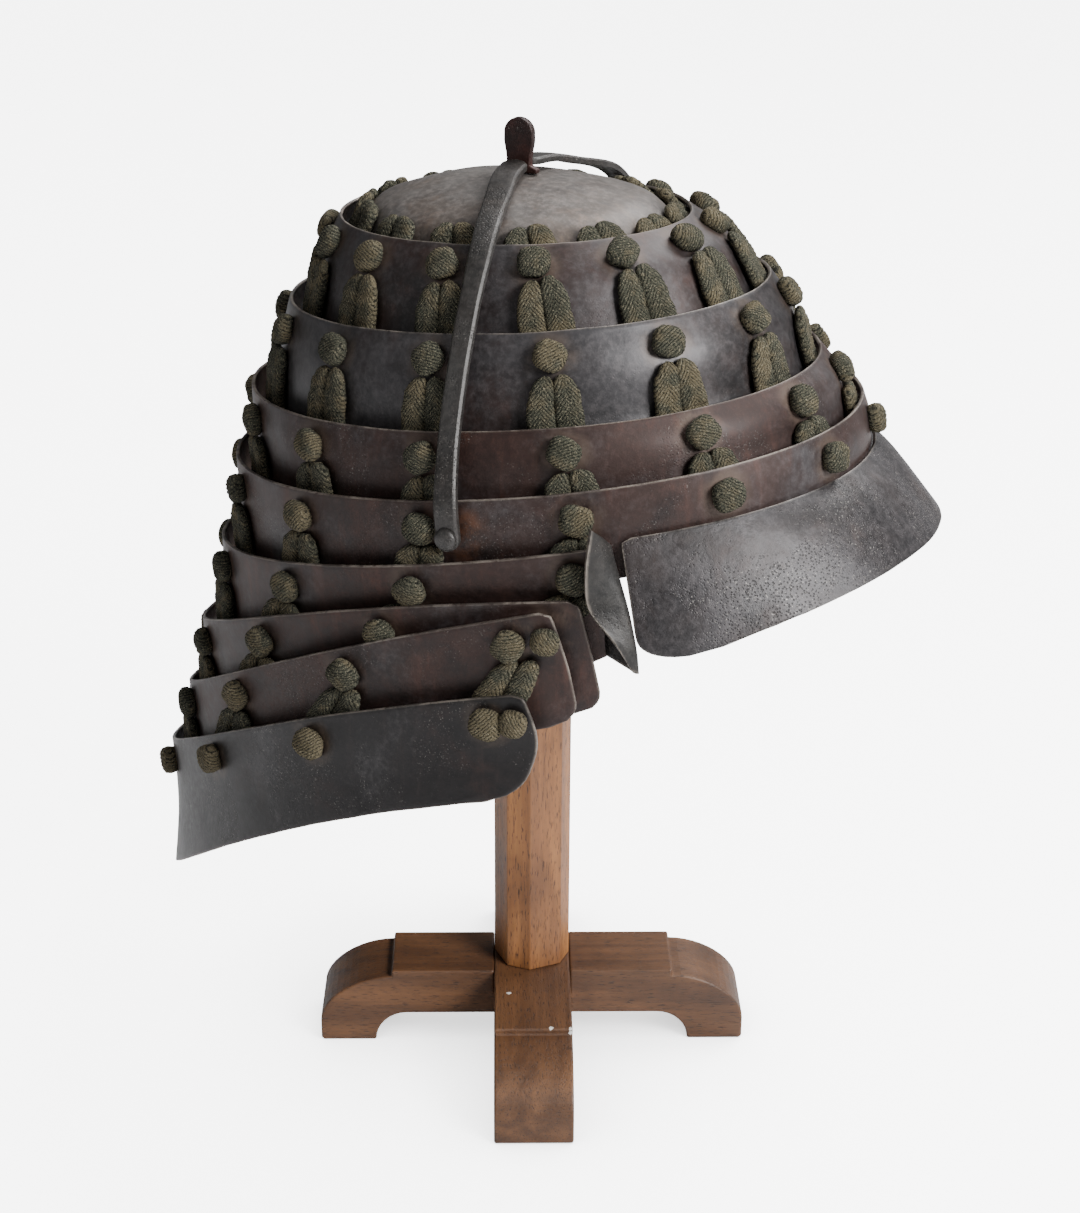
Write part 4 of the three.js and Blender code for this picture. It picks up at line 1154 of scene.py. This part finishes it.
POST_FINISH = wood_material("post_wood", (0, math.pi / 2, 0), 0.1, POST_WOOD, POST_GRAIN)
post = finish_piece(bm, "stand_post_planed", POST_FINISH, nodes=["stand_post"], smooth=False)
print(post.name, "up to", round(post_high.z / MM), "mm")

# %% [markdown]
# ## Floor and light
# The helmet stands on seamless white paper under broad soft lamps. One large lamp from the front right
# gives the visor and the rings their grey sheen, and the rest is even white light. The paper glows evenly
# where the camera sees it, and the faint shadow under the stand is a painted shadow from ambient occlusion.


# %% Studio
def soft_lamp(name, at, target, size, power):
    lamp = bpy.data.lights.new(name, "AREA")
    lamp.shape, lamp.size, lamp.energy = "SQUARE", size, power
    holder = bpy.data.objects.new(name, lamp)
    bpy.context.scene.collection.objects.link(holder)
    holder.location = at
    holder.rotation_euler = (target - at).to_track_quat("-Z", "Y").to_euler()
    return holder


def for_camera(tree, otherwise, seen):
    """One strength for what the camera sees and another for what lights the helmet."""
    camera_ray = add_node(tree, "ShaderNodeLightPath").outputs["Is Camera Ray"]
    return add_node(tree, "ShaderNodeMapRange", {0: camera_ray, 3: otherwise, 4: seen}).outputs[0]


paper = bmesh.new()
bmesh.ops.create_grid(paper, x_segments=1, y_segments=1, size=20)
paper_mesh = bpy.data.meshes.new("paper")
paper.to_mesh(paper_mesh)
paper.free()
floor = bpy.data.objects.new("paper_floor", paper_mesh)
bpy.context.scene.collection.objects.link(floor)
white, tree, shader = new_finish("white_paper", Base_Color=(0.86, 0.86, 0.87, 1), Roughness=0.6,
                                 Specular_IOR_Level=0.2, Emission_Color=(1, 1, 1, 1))
# Painted shadow: near the stand, ambient occlusion dims the paper's glow as the camera sees it.
painted_shadow_mask = add_node(tree, "ShaderNodeAmbientOcclusion", {"Distance": 0.13}, samples=8).outputs["AO"]
glow_with_painted_shadow = add_node(tree, "ShaderNodeMapRange", {0: painted_shadow_mask, 3: 0.8, 4: 6.0}).outputs[0]
tree.links.new(for_camera(tree, 0.12, glow_with_painted_shadow), shader.inputs["Emission Strength"])
paper_mesh.materials.append(white)

target = AXIS + Vector((0, 0, 0.22))
soft_lamp("window_right", AXIS + Vector((1.32, -0.42, 1.0)), target, 0.6, 40)
soft_lamp("window_left", AXIS + Vector((-0.9, -1.3, 1.1)), target, 0.7, 2)
soft_lamp("ceiling", AXIS + Vector((0.35, 0.9, 1.6)), target, 1.1, 42)
world = bpy.data.worlds.new("white_room")
world.use_nodes = True
sky = world.node_tree.nodes["Background"].inputs
sky["Color"].default_value = (0.97, 0.98, 1.0, 1)
world.node_tree.links.new(for_camera(world.node_tree, 0.19, 6.0), sky["Strength"])
bpy.context.scene.world = world
print("lamps", len(bpy.data.lights))
